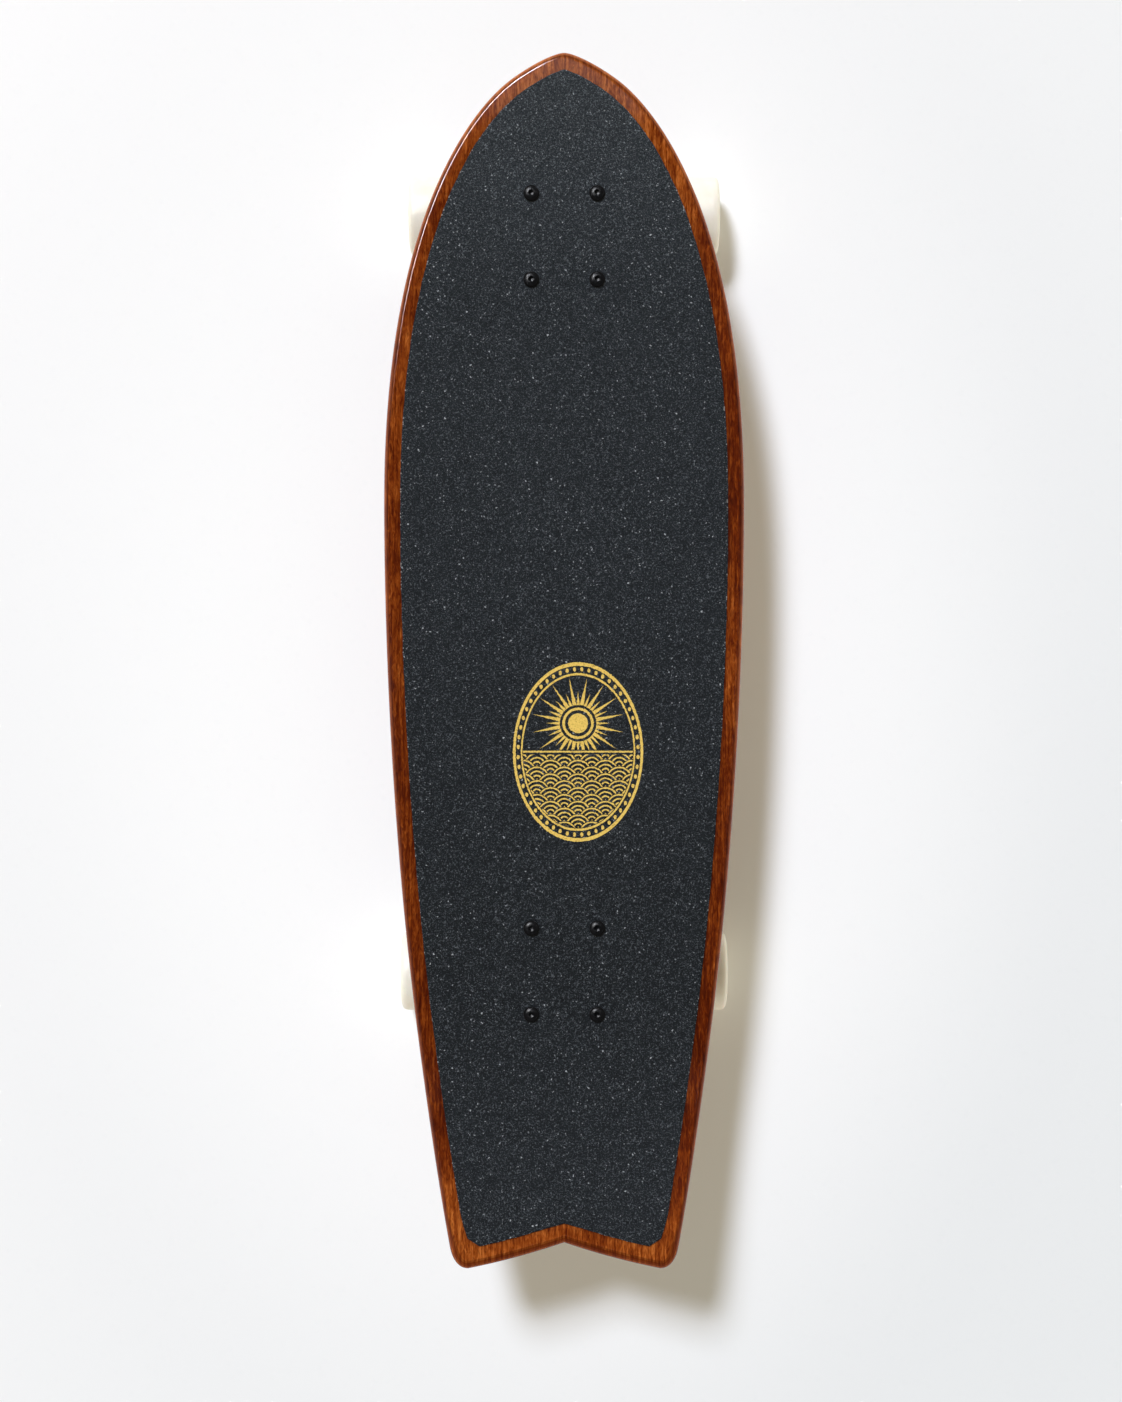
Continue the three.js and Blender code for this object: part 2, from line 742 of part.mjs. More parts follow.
// A hanger, its axle, wheels, bearings and axle nuts, in the same frame as the kingpin stack.
function makeHanger(frame, prefix, wheelFace, sideNames) {
  const wheelMiddle = wheelFace - wheelWidth / 2;
  const coreMiddle = wheelMiddle - coreInset;
  const bearingReach = bearingSpacing / 2 + bearingWidth;
  const shoulderEnd = coreMiddle - bearingReach - stackGap;
  const barrelEnd = wheelMiddle - wheelWidth / 2 - hangerWheelGap;
  const axleFrame = (geometry) =>
    geometry.clone().rotateY(90 * degree).translate(0, axleOffset, -truckHeight);

  const spindleSide = [
    [hangerShoulderRadius, shoulderEnd],
    [hangerShoulderRadius, barrelEnd],
    [hangerEndRadius, barrelEnd],
    [hangerEndRadius, yokeHalfWidth + yokeTopHalfWidth],
    [hangerMiddleRadius, yokeTopHalfWidth],
  ];
  const spindle = turned(
    [
      [0, shoulderEnd],
      ...spindleSide,
      ...[...spindleSide].reverse().map(([r, x]) => [r, -x]),
      [0, -shoulderEnd],
    ],
    roundSides,
  );
  const yokeShape = new THREE.Shape([
    new THREE.Vector2(-yokeHalfWidth, -truckHeight),
    new THREE.Vector2(yokeHalfWidth, -truckHeight),
    new THREE.Vector2(yokeTopHalfWidth, yokeTopZ),
    new THREE.Vector2(-yokeTopHalfWidth, yokeTopZ),
  ]);
  const yokeStart = axleOffset + yokeThickness / 2;
  const yoke = plate(yokeShape, 0, yokeThickness)
    .rotateX(90 * degree)
    .translate(0, yokeStart, 0);
  const ring = onKingpin(rod(ringRadius, -ringBottom, -ringTop));
  const link = slab(
    [
      [ringY + ringHoleRadius, ringZ + ringThickness / 2],
      [axleOffset, yokeTopZ],
      [axleOffset + hangerEndRadius, -truckHeight + hangerEndRadius],
      [axleOffset, -truckHeight - hangerEndRadius],
      [ringY + ringHoleRadius, ringZ - ringThickness],
    ],
    linkHalfWidth,
  );
  const leanAngle = steeringLean * degree;
  const neckTopY = pivotY - pivotTipLength * Math.sin(leanAngle);
  const neckTopZ = pivotZ - pivotTipLength * Math.cos(leanAngle);
  const neckRun = Math.hypot(neckTopY - axleOffset, neckTopZ + truckHeight);
  const neckLean = Math.atan2(neckTopY - axleOffset, neckTopZ + truckHeight) / degree;
  const neckRod = rod(pivotNeckRadius, 0, neckRun, smallSides);
  const neck = framed(neckRod, axleOffset, -truckHeight, neckLean);
  const knuckle = new THREE.SphereGeometry(pivotNeckRadius, smallSides, smallSides / 2);
  knuckle.translate(0, neckTopY, neckTopZ);
  const tip = onSteeringAxis(
    turned(
      [
        [0, pivotTipEnd],
        [pivotTipRadius - pivotTipEnd, pivotTipEnd],
        [pivotTipRadius, 0],
        [pivotTipRadius, -pivotCupMouth],
        [pivotNeckRadius - pivotTipEnd, -pivotTipLength],
        [0, -pivotTipLength],
      ],
      roundSides,
    ),
  );
  const hanger = cut(
    join(axleFrame(spindle), yoke, ring, link, neck, knuckle, tip),
    onKingpin(rod(stackClearRadius, -ringTop, 0)),
    onKingpin(rod(stackClearRadius, -kingpinEnd - overrun, -ringBottom)),
    onKingpin(rod(ringHoleRadius, -ringBottom - overrun, -ringTop + overrun)),
    axleFrame(rod(axleRadius + threadGap, -wheelFace, wheelFace, smallSides)),
  );
  piece(frame, `${prefix}_hanger`, hanger, castMetal);

  const nutStart = coreMiddle + bearingReach + stackGap;
  const nutEnd = nutStart + axleNutHeight;
  const axleEnd = nutEnd + axleTail;
  piece(frame, `${prefix}_axle`, axleFrame(rod(axleRadius, -axleEnd, axleEnd, smallSides)), zincSteel);

  // One side of a wheel, whose core lies a little nearer to the hanger than its tread does.
  const seatRadius = bearingRadius + stackGap;
  const wheelSide = (coreShift) => [
    [wheelCoreRadius, coreShift + bearingSpacing / 2],
    [seatRadius, coreShift + bearingSpacing / 2],
    [seatRadius, coreShift + bearingReach + seatGap],
    [wheelFaceRadius, wheelWidth / 2],
    [wheelRadius - wheelLip, wheelWidth / 2],
    [wheelRadius, wheelWidth / 2 - wheelLip],
  ];
  const outerSide = wheelSide(-coreInset);
  const innerSide = wheelSide(coreInset);
  const wheelProfile = [
    ...outerSide,
    ...innerSide.reverse().map(([r, x]) => [r, -x]),
    outerSide[0],
  ];
  const wheel = turned(wheelProfile, wheelSides, Math.PI / wheelSides).rotateY(90 * degree);
  const bearing = tube(
    axleRadius + bearingBoreGap,
    bearingRadius,
    bearingSpacing / 2,
    bearingReach,
    bearingSides,
  ).rotateY(90 * degree);
  const nut = cut(
    hexagon(axleNutFlats, nutStart, nutEnd),
    rod(axleRadius + threadGap, nutStart - overrun, nutEnd + overrun, smallSides),
  ).rotateY(90 * degree);
  sideNames.forEach(([sideName, side]) => {
    const hub = new THREE.Group();
    hub.position.set(side * wheelMiddle, axleOffset, -truckHeight);
    if (side < 0) hub.rotation.z = Math.PI;
    frame.add(hub);
    piece(hub, `${prefix}_${sideName}_wheel`, wheel, urethane);
    const outerBearing = piece(hub, `${prefix}_${sideName}_bearing_a`, bearing, bearingSteel);
    outerBearing.position.x = -coreInset;
    const innerBearing = piece(hub, `${prefix}_${sideName}_bearing_b`, bearing, bearingSteel);
    innerBearing.position.x = -coreInset;
    innerBearing.rotation.z = Math.PI;
    const nutMesh = piece(frame, `${prefix}_${sideName}_axle_nut`, nut, zincSteel);
    nutMesh.position.set(0, axleOffset, -truckHeight);
    if (side < 0) nutMesh.rotation.z = Math.PI;
  });
}

// Places along the swing pin, from the inclined face of its boss downwards.
const hubTop = thrustWasherThickness + 2 * stackGap;
const hubBottom = hubTop + hubHeight;
const springTop = hubBottom + stackGap;
const springLength = 2 * (springWire + springBendRadius) + springTurns * springPitch;
const springBottom = springTop + springLength;
const retainerTop = springBottom + stackGap;
const retainerBottom = retainerTop + retainerHeight;
const swingPinEnd = retainerBottom + swingPinTail;
const swingPinHeadTop = (-swingPinZ - swingPinHeadDepth) / Math.cos(swingPinTilt * degree);
const swingPinHeadBottom = swingPinHeadTop - swingPinHeadHeight;

const onSwingPin = (geometry) => framed(geometry, swingPinY, swingPinZ, swingPinTilt);

function makeFrontBaseplate(frame) {
  const outline = roundedRectangle(
    -frontPlateHalfWidth,
    frontPlateHalfWidth,
    -frontPlateInboard,
    frontPlateOutboard,
    plateCornerRadius,
  );
  const underside = -frontPlateThickness;
  const drills = holePlaces(0).flatMap(([x, y]) => [
    rod(boltHoleRadius, underside - overrun, overrun, smallSides).translate(x, y, 0),
    rod(nutPocketRadius, underside - overrun, -nutPocketFloor, smallSides).translate(x, y, 0),
  ]);
  const body = join(
    plate(outline, underside, 0, plateBevel),
    onSwingPin(rod(swingBossRadius, 0, -swingPinZ - frontPlateThickness / 2)),
  );
  const bore = onSwingPin(rod(swingPinRadius + fitGap, -overrun, -swingPinZ + overrun));
  const recess = onSwingPin(
    rod(swingPinHeadRadius + fitGap, swingPinHeadBottom - fitGap, -swingPinZ + 2 * overrun),
  );
  piece(frame, "front_baseplate", cut(body, bore, recess, ...drills), blackCasting);
}

function makeSwingPin(frame) {
  const pinFrame = frameGroup(frame, swingPinY, swingPinZ, swingPinTilt);
  const pin = join(
    rod(swingPinHeadRadius, swingPinHeadBottom, swingPinHeadTop),
    rod(swingPinRadius, -swingPinEnd, swingPinHeadBottom + seatGap),
  );
  piece(pinFrame, "swing_pin", pin, zincSteel);
  const bore = swingPinRadius + stackGap;
  const washer = tube(bore, swingBossRadius, -hubTop + stackGap, -stackGap);
  piece(pinFrame, "swing_thrust_washer", washer, bronze);
  const sleeve = tube(bore, bore + sleeveWall, -hubBottom, -hubTop);
  piece(pinFrame, "swing_sleeve", sleeve, bronze);
  const retainer = cut(
    hexagon(retainerFlats, -retainerBottom, -retainerTop),
    rod(swingPinRadius + threadGap, -swingPinEnd, -springBottom),
  );
  piece(pinFrame, "swing_spring_retainer", retainer, zincSteel);
  piece(pinFrame, "swing_spring", makeSpring(), springSteel);
}

// One round wire along a path, closed at both ends.
function wire(path, radius, sides) {
  const positions = [];
  const triangles = [];
  const middle = new THREE.Vector3();
  let normal = null;
  path.forEach((point, i) => {
    const before = path[Math.max(0, i - 1)];
    const after = path[Math.min(path.length - 1, i + 1)];
    const tangent = after.clone().sub(before).normalize();
    if (!normal) normal = new THREE.Vector3(1, 0, 0);
    normal = normal.clone().addScaledVector(tangent, -normal.dot(tangent)).normalize();
    const side = tangent.clone().cross(normal);
    for (let k = 0; k < sides; k += 1) {
      const angle = (2 * Math.PI * k) / sides;
      middle.copy(point);
      middle.addScaledVector(normal, radius * Math.cos(angle));
      middle.addScaledVector(side, radius * Math.sin(angle));
      positions.push(middle.x, middle.y, middle.z);
    }
  });
  for (let i = 0; i + 1 < path.length; i += 1) {
    for (let k = 0; k < sides; k += 1) {
      const next = (k + 1) % sides;
      const [a, b] = [i * sides + k, i * sides + next];
      triangles.push(a, b, b + sides, a, b + sides, a + sides);
    }
  }
  const lastRing = (path.length - 1) * sides;
  for (let k = 1; k + 1 < sides; k += 1) {
    triangles.push(0, k + 1, k, lastRing, lastRing + k, lastRing + k + 1);
  }
  const geometry = new THREE.BufferGeometry();
  geometry.setAttribute("position", new THREE.Float32BufferAttribute(positions, 3));
  geometry.setIndex(triangles);
  return geometry;
}

// A coil whose ends stand square to the hub above it and to the retainer below it.
function springPath() {
  const start = -springTop;
  const path = [new THREE.Vector3(springRadius, 0, start)];
  for (let k = 0; k <= springTurnInSteps; k += 1) {
    const turn = (k / springTurnInSteps) * 90 * degree;
    const sideways = springBendRadius * (1 - Math.cos(turn));
    const down = springWire + springBendRadius * Math.sin(turn);
    path.push(new THREE.Vector3(springRadius, sideways, start - down));
  }
  const coilStart = start - springWire - springBendRadius;
  const firstAngle = springBendRadius / springRadius;
  const lastAngle = 2 * Math.PI * springTurns - firstAngle;
  const count = springSteps * springTurns;
  for (let k = 1; k < count; k += 1) {
    const share = k / count;
    const angle = firstAngle + (lastAngle - firstAngle) * share;
    const x = springRadius * Math.cos(angle);
    const y = springRadius * Math.sin(angle);
    path.push(new THREE.Vector3(x, y, coilStart - springTurns * springPitch * share));
  }
  const entry = path.slice(0, path.length - (count - 1));
  const middleZ = -(springTop + springBottom) / 2;
  const endAngle = 2 * Math.PI * springTurns;
  for (const point of entry.reverse()) {
    const flipped = new THREE.Vector3(point.x, -point.y, 2 * middleZ - point.z);
    path.push(flipped.applyAxisAngle(new THREE.Vector3(0, 0, 1), endAngle));
  }
  return path;
}

function makeSpring() {
  const path = springPath();
  let least = Infinity;
  path.forEach((p, i) => {
    path.slice(i + springSteps / 2).forEach((q) => {
      least = Math.min(least, p.distanceTo(q) - springWire);
    });
  });
  console.log(`swing_spring: least gap between its turns ${least.toFixed(2)} mm`);
  return wire(path, springWire / 2, springSides);
}

function makeSwingArm(frame) {
  const seat = (geometry) => geometry.clone().translate(0, armSeatY, -armDrop);
  const outline = new THREE.Shape();
  outline.moveTo(-armHubHalfWidth, armInboardY);
  outline.lineTo(armHubHalfWidth, armInboardY);
  outline.lineTo(armEndHalfWidth, armSeatY);
  outline.lineTo(armEndHalfWidth, armOutboardY - armHubHalfWidth);
  outline.quadraticCurveTo(armEndHalfWidth, armOutboardY, 0, armOutboardY);
  outline.quadraticCurveTo(
    -armEndHalfWidth,
    armOutboardY,
    -armEndHalfWidth,
    armOutboardY - armHubHalfWidth,
  );
  outline.lineTo(-armEndHalfWidth, armSeatY);
  const beam = plate(outline, -armDrop - armThickness, -armDrop, armBevel);
  const hub = onSwingPin(rod(hubRadius, -hubBottom, -hubTop));
  const gusset = slab(
    [
      [swingPinY, -armDrop - armThickness / 2],
      [armSeatY - kingpinOffset, -armDrop - armThickness / 2],
      [armSeatY - kingpinOffset, -armDrop - armThickness],
      [swingPinY + hubRadius, swingPinZ - hubBottom + stackGap],
      [swingPinY, swingPinZ - hubBottom + stackGap],
    ],
    armGussetHalfWidth,
  );
  const bossClearance = rod(swingBossRadius + swingBossGap, -hubTop, armDrop + overrun);
  const underHub = rod(hubRadius + swingBossGap, -swingPinEnd, -hubBottom);
  const body = join(beam, hub, gusset, ...seatBosses().map(seat));
  const arm = cut(
    body,
    onSwingPin(bossClearance),
    onSwingPin(underHub),
    onSwingPin(rod(swingPinRadius + stackGap + sleeveWall + fitGap, -swingPinEnd, armDrop)),
    ...seatCuts().map(seat),
  );
  piece(frame, "swing_arm", arm, castMetal);
}

makeDeck();
makeGripTape();

const frontFrame = truckFrame(frontPatternY, frontPlateTopZ);
const frontOutline = roundedRectangle(
  -frontPlateHalfWidth - riserMargin,
  frontPlateHalfWidth + riserMargin,
  -frontPlateInboard - riserMargin,
  frontPlateOutboard + riserMargin,
  plateCornerRadius,
);
const windowHalf = riserWindowShare * plateHalfWidth;
const riserWindow = roundedRectangle(
  -windowHalf,
  windowHalf,
  -2 * windowHalf,
  2 * windowHalf,
  riserWindowShare * windowHalf,
);
makeRiser("front_riser", frontFrame, frontOutline, frontRiserThickness, riserWindow);
makeHardware(frontFrame, frontRiserThickness, -nutPocketFloor, 1);
makeFrontBaseplate(frontFrame);
makeSwingPin(frontFrame);
makeSwingArm(frontFrame);
const armSeat = new THREE.Group();
armSeat.position.set(0, armSeatY, -armDrop);
frontFrame.add(armSeat);
makeKingpinStack(armSeat, "front");
makeHanger(armSeat, "front", frontWheelFace, [["left", -1], ["right", 1]]);

const rearFrame = truckFrame(rearPatternY, rearPlateTopZ);
const rearOutline = roundedRectangle(
  -plateHalfWidth - riserMargin,
  plateHalfWidth + riserMargin,
  -plateHalfLength - riserMargin,
  plateHalfLength + riserMargin,
  plateCornerRadius,
);
makeRiser("rear_riser", rearFrame, rearOutline, rearRiserThickness, riserWindow);
makeHardware(rearFrame, rearRiserThickness, -plateThickness, 1 + holePlaces(0).length);
makeRearBaseplate(rearFrame);
makeKingpinStack(rearFrame, "rear");
makeHanger(rearFrame, "rear", rearWheelFace, [["right", -1], ["left", 1]]);

export default board;
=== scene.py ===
import json
import math
from functools import partialmethod

import bmesh
import bpy
import numpy as np
from mathutils import Matrix, Vector, noise


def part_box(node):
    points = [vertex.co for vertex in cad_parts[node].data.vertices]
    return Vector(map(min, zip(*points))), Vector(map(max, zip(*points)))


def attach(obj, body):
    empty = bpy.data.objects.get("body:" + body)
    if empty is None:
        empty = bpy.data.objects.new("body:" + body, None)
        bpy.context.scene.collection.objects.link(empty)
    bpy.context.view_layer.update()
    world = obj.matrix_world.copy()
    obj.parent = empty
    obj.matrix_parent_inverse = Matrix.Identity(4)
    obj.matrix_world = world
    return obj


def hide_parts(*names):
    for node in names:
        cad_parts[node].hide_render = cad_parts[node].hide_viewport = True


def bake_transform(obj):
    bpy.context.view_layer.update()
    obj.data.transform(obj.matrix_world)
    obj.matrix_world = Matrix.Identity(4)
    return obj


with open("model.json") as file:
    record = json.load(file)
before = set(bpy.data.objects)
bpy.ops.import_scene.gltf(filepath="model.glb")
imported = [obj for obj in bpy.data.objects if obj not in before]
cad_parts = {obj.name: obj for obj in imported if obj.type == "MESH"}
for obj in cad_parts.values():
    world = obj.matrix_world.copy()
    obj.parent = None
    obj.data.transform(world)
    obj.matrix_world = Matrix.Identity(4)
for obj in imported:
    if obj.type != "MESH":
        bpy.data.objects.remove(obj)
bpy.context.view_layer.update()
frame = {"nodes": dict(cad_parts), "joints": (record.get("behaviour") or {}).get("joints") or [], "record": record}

MM = 0.001
DEGREE = math.pi / 180
TURN = 2 * math.pi

# What the frame says
NODES = frame["nodes"]
JOINTS = {joint["name"]: joint for joint in frame["joints"]}
MOUNTS = {mount["name"]: mount for mount in frame["record"]["mounts"]}
BODIES = frame["record"]["behaviour"]["bodies"]
BODY_OF = {node: body for body, members in BODIES.items() for node in members}
SLOT_OF = {row["node"]: row["material_slot"] for row in frame["record"]["subparts"]}

# Deck sizes, as in the solid
HALF_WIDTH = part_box("deck")[1].x
HALF_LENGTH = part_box("deck")[1].y
DECK_BOTTOM = MOUNTS["rack_face"]["pos_m"][2]
GRIP_TOP = MOUNTS["standing_face"]["pos_m"][2]
DECK_THICKNESS = 11 * MM
PLIES = 7
DECK_TOP = DECK_BOTTOM + DECK_THICKNESS
CONCAVE_RISE = 4 * MM
CONCAVE_FLAT = 30 * MM

# Each raised end's length, the length of its bend and its angle
TAIL_KICK = (138.7 * MM, 70 * MM, 12 * DEGREE)
NOSE_LIFT = (80.7 * MM, 60 * MM, 7 * DEGREE)

# How far the crease and the tape stay off the outline at the sides, the nose and the tail
CREASE_INSETS = (2.7 * MM, 3.2 * MM, 4.9 * MM)
GRIP_INSETS = (10.4 * MM, 11.3 * MM, 12.4 * MM)

# The rail: a flat top face that ends in a crease, a rounded shoulder below it and a softer lower edge
CREASE_RADIUS = 1.8 * MM
CREASE_TILT = 24 * DEGREE
CREASE_STEPS = 8
SHOULDER_DEPTH = 4.5 * MM
SHOULDER_SWEEP = 90 * DEGREE - CREASE_TILT
SHOULDER_STEPS = 9
LOWER_RADIUS = 3.2 * MM
LOWER_STEPS = 6

# Grip tape
GRIP_THICKNESS = 0.85 * MM
GRIP_CORNER_IN = 52.7 * MM
GRIP_CORNER_RUN = 4 * MM
GRIP_RAGGEDNESS = 0.28 * MM
GRIP_SOFT_EDGE = 0.25 * MM

# The gold print on the tape: the middle and the half sizes of its oval, its beads, rays and waves
PRINT_MIDDLE = (8.7 * MM, -59.2 * MM)
PRINT_HALF = (41 * MM, 56.5 * MM)
BEADS = 52
RAYS = 16
WAVE_RADIUS = 8.6 * MM


def rows_between(start, end, count):
    """Evenly spaced values from start to end, both included."""
    return [start + (end - start) * k / count for k in range(count + 1)]


# The deck's outline: shares of the half width and of the half length, nose at +1
OUTLINE_SHARES = {
    "nose_tip": [(0, 1), (0.053, 1), (0.177, 0.982), (0.287, 0.959)],
    "nose_flank": [(0.287, 0.959), (0.533, 0.9077), (1, 0.726), (1, 0.259)],
    "tail_flank": [(1, 0.259), (1, 0.168), (1, -0.411), (0.63, -0.9634)],
    "tail_corner": [(0.63, -0.9634), (0.6177, -0.984), (0.584, -1), (0.5265, -1)],
    "tail_lobe": [(0.5265, -1), (0.352, -0.9906), (0.177, -0.9772), (0, -0.96)],
}


def outline_run(name, start, end, count, inset_of):
    """Points of an outline curve between two shares, each moved into the board by its own inset."""
    a, b, c, d = [np.array(p) * (HALF_WIDTH, HALF_LENGTH) for p in OUTLINE_SHARES[name]]
    points = []
    for share in rows_between(start, end, count):
        rest = 1 - share
        point = rest**3 * a + 3 * rest**2 * share * b + 3 * rest * share**2 * c + share**3 * d
        run = rest**2 * (b - a) + 2 * rest * share * (c - b) + share**2 * (d - c)
        inward = np.array((run[1], -run[0])) / np.hypot(*run)
        points.append(point + inward * inset_of(point))
    return points


def smooth_share(value, low, high):
    """0 at low, 1 at high and a smooth run between them."""
    share = min(1.0, max(0.0, (value - low) / (high - low)))
    return share * share * (3 - 2 * share)


def end_inset(side, nose, tail, reach=60 * MM):
    """An inset that changes from the sides' value to the nose's and the tail's near the ends."""

    def inset_of(point):
        near_nose = smooth_share(point[1], HALF_LENGTH - reach, HALF_LENGTH)
        near_tail = smooth_share(-point[1], HALF_LENGTH - reach / 2, HALF_LENGTH - reach / 6)
        return side + (nose - side) * near_nose + (tail - side) * near_tail

    return inset_of


# The faces of the deck's mesh: from its middle line to its side, round a tail corner and along a flank
COLUMNS = 18
CORNER_STEPS = 6
TAIL_FLANK_STEPS = 84
NOSE_FLANK_STEPS = 62


def notched(lobe):
    """A tail row whose first point is where its run meets the board's middle line."""
    first, second = lobe[0], lobe[1]
    slope = (second[1] - first[1]) / (second[0] - first[0])
    return [np.array((0.0, first[1] - slope * first[0]))] + lobe[1:]


def deck_half(inset_of):
    """The right half of the deck's outline as its tail row, its flank and its nose row."""
    corner = outline_run("tail_corner", 1, 0, 2 * CORNER_STEPS, inset_of)
    tail = notched(outline_run("tail_lobe", 1, 0, COLUMNS - CORNER_STEPS, inset_of))
    tail += corner[1 : CORNER_STEPS + 1]
    flank = corner[CORNER_STEPS:]
    flank += outline_run("tail_flank", 1, 0, TAIL_FLANK_STEPS, inset_of)[1:]
    flank += outline_run("nose_flank", 1, 0, NOSE_FLANK_STEPS, inset_of)[1:]
    nose = outline_run("nose_tip", 0, 1, COLUMNS, inset_of)
    return tail, flank, nose


def grip_half(inset_of):
    """The grip tape's outline: as the deck's, with its tail corners cut off."""
    lobe = notched(outline_run("tail_lobe", 1, 0, 10 * COLUMNS, inset_of))
    lobe = [p for p in lobe if p[0] <= GRIP_CORNER_IN]
    lobe = lobe[:: len(lobe) // (COLUMNS - CORNER_STEPS)][: COLUMNS - CORNER_STEPS] + [lobe[-1]]
    flank = outline_run("tail_flank", 1, 0, 3 * TAIL_FLANK_STEPS, inset_of)
    start = lobe[-1][1] + GRIP_CORNER_RUN
    flank = [p for p in flank if p[1] > start][::3]
    chamfer = [lobe[-1] + (flank[0] - lobe[-1]) * s for s in rows_between(0, 1, 2 * CORNER_STEPS)]
    tail = lobe + chamfer[1 : CORNER_STEPS + 1]
    flank = chamfer[CORNER_STEPS:] + flank[1:]
    flank += outline_run("nose_flank", 1, 0, NOSE_FLANK_STEPS, inset_of)[1:]
    nose = outline_run("nose_tip", 0, 1, len(tail) - 1, inset_of)
    return tail, flank, nose


def grid_of(half):
    """Rows of points that fill an outline, from the tail to the nose."""
    tail, flank, nose = half
    last = len(flank) - 1
    columns = len(tail) - 1
    rows = []
    for number, edge in enumerate(flank):
        along = number / last
        row = []
        for column in range(-columns, columns + 1):
            k = abs(column)
            across = (1 - along) * tail[k][0] / tail[-1][0] + along * nose[k][0] / nose[-1][0]
            tail_pull = (tail[k][1] - tail[-1][1]) * max(0, 1 - 2 * along) ** 3
            nose_pull = (nose[k][1] - nose[-1][1]) * max(0, 2 * along - 1) ** 3
            row.append((math.copysign(across, column) * edge[0], edge[1] + tail_pull + nose_pull))
        rows.append(row)
    return rows


def rim_of(rows):
    """The rim of such a grid, counter-clockwise from above, from the tail's left end."""
    right = [row[-1] for row in rows[:-1]]
    left = [row[0] for row in rows[1:]]
    return rows[0][:-1] + right + rows[-1][:0:-1] + left[::-1]


def ramp_rise(toward, length, blend, angle):
    """How far an end rises at a distance toward it from the board's middle."""
    run = toward - HALF_LENGTH + length
    slope = math.tan(angle)
    if run <= 0:
        return 0.0
    return slope * run * run / (2 * blend) if run < blend else slope * (run - blend / 2)


def surface_rise(x, y):
    """How far the board's surface rises at a place."""
    across = max(0, abs(x) - CONCAVE_FLAT) / (HALF_WIDTH - CONCAVE_FLAT)
    return CONCAVE_RISE * across**2 + ramp_rise(-y, *TAIL_KICK) + ramp_rise(y, *NOSE_LIFT)


def band(low, high):
    """Faces between two rings of corners, by number. A ring may be one corner, repeated."""
    ahead = [*range(1, len(low)), 0]
    return [tuple(dict.fromkeys((low[k], low[a], high[a], high[k]))) for k, a in enumerate(ahead)]


def board_mesh(layers, half_of):
    """A closed board-shaped body. Each layer is (inset function, height over the deck's top face); the
    first is its floor and the last its top. The depth of each corner comes with the corners, and so do
    the numbers of the corners round its top."""
    corners, faces, depths = [], [], []

    def add(point, height):
        corners.append((point[0], point[1], DECK_TOP + height + surface_rise(*point)))
        depths.append(-height)
        return len(corners) - 1

    rims = []
    for number, (inset_of, height) in enumerate(layers):
        rows = grid_of(half_of(inset_of))
        if number in (0, len(layers) - 1):
            ids = [[add(p, height) for p in row] for row in rows]
            for low, high in zip(ids, ids[1:]):
                for a, b, c, d in zip(low, low[1:], high[1:], high):
                    faces.append((a, b, c, d) if number else (d, c, b, a))
            rims.append(rim_of(ids))
        else:
            rims.append([add(p, height) for p in rim_of(rows)])
    for low, high in zip(rims, rims[1:]):
        faces += band(low, high)
    return corners, faces, depths, rims[-1]


# Solids of revolution


class Place:
    """A place with a direction, its own +Z. Its +X stays level."""

    def __init__(self, origin, direction):
        self.origin = Vector(origin)
        self.z = Vector(direction).normalized()
        level = Vector((1, 0, 0)) if abs(self.z.x) < 0.5 else Vector((0, 1, 0))
        self.x = (level - self.z * level.dot(self.z)).normalized()
        self.y = self.z.cross(self.x)

    def matrix(self):
        turn = Matrix((self.x, self.y, self.z)).transposed().to_4x4()
        return Matrix.Translation(self.origin) @ turn

    def at(self, height):
        """A point on the line through the place."""
        return self.origin + self.z * height

    def span(self, node):
        """The lowest and highest place of a solid along this direction, and its outer radius."""
        local = corners_of(node) - np.array(self.origin)
        along = local @ np.array(self.z)
        away = np.linalg.norm(local - np.outer(along, self.z), axis=1)
        return along.min(), along.max(), away.max()


def corners_of(node):
    points = np.array([v.co for v in NODES[node].data.vertices])
    return np.unique(np.round(points, 7), axis=0)


def middle_of(node):
    return Vector(corners_of(node).mean(axis=0))


def hexagon(half_flats, limit=1.0):
    """The radius round a hexagon, cut back to limit where its corners stand further out."""

    def radius_at(angles, _):
        folded = np.mod(angles + math.pi / 6, math.pi / 3) - math.pi / 6
        return np.minimum(half_flats / np.cos(folded), limit)

    return radius_at


def thread(radius, pitch, depth):
    """The radius round a screw thread with rounded roots."""

    def radius_at(angles, height):
        phase = height / pitch - angles / TURN
        return radius - depth * (0.5 + 0.5 * np.cos(TURN * phase))

    return radius_at


def thread_rows(radius, low, high, pitch, depth):
    count = max(4, round(8 * abs(high - low) / pitch))
    return [(thread(radius, pitch, depth), z) for z in rows_between(low, high, count)]


# Threads in mm: the tip's chamfer, where the thread starts and ends and where the plain shank starts,
# from the tip, and the thread's pitch and depth
THREADS = {
    "deck_bolt": (0.5, 0.3, 9, 9.2, 0.8, 0.42),
    "kingpin": (0.9, 0.4, 15, 15.5, 1.06, 0.55),
    "swing_pin": (1.1, 0.5, 8, 8.4, 1.25, 0.6),
}


def threaded_end(kind, tip, radius):
    """Rows of a shank from the middle of its tip to its plain part."""
    chamfer, start, end, plain, pitch, depth = (value * MM for value in THREADS[kind])
    return [
        (0, tip),
        (radius - chamfer, tip),
        *thread_rows(radius, tip + start, tip + end, pitch, depth),
        (radius, tip + plain),
    ]


def rows_at(radius, height, offsets):
    """Rows given in mm from a radius and a height."""
    return [(radius + across * MM, height + along * MM) for across, along in offsets]


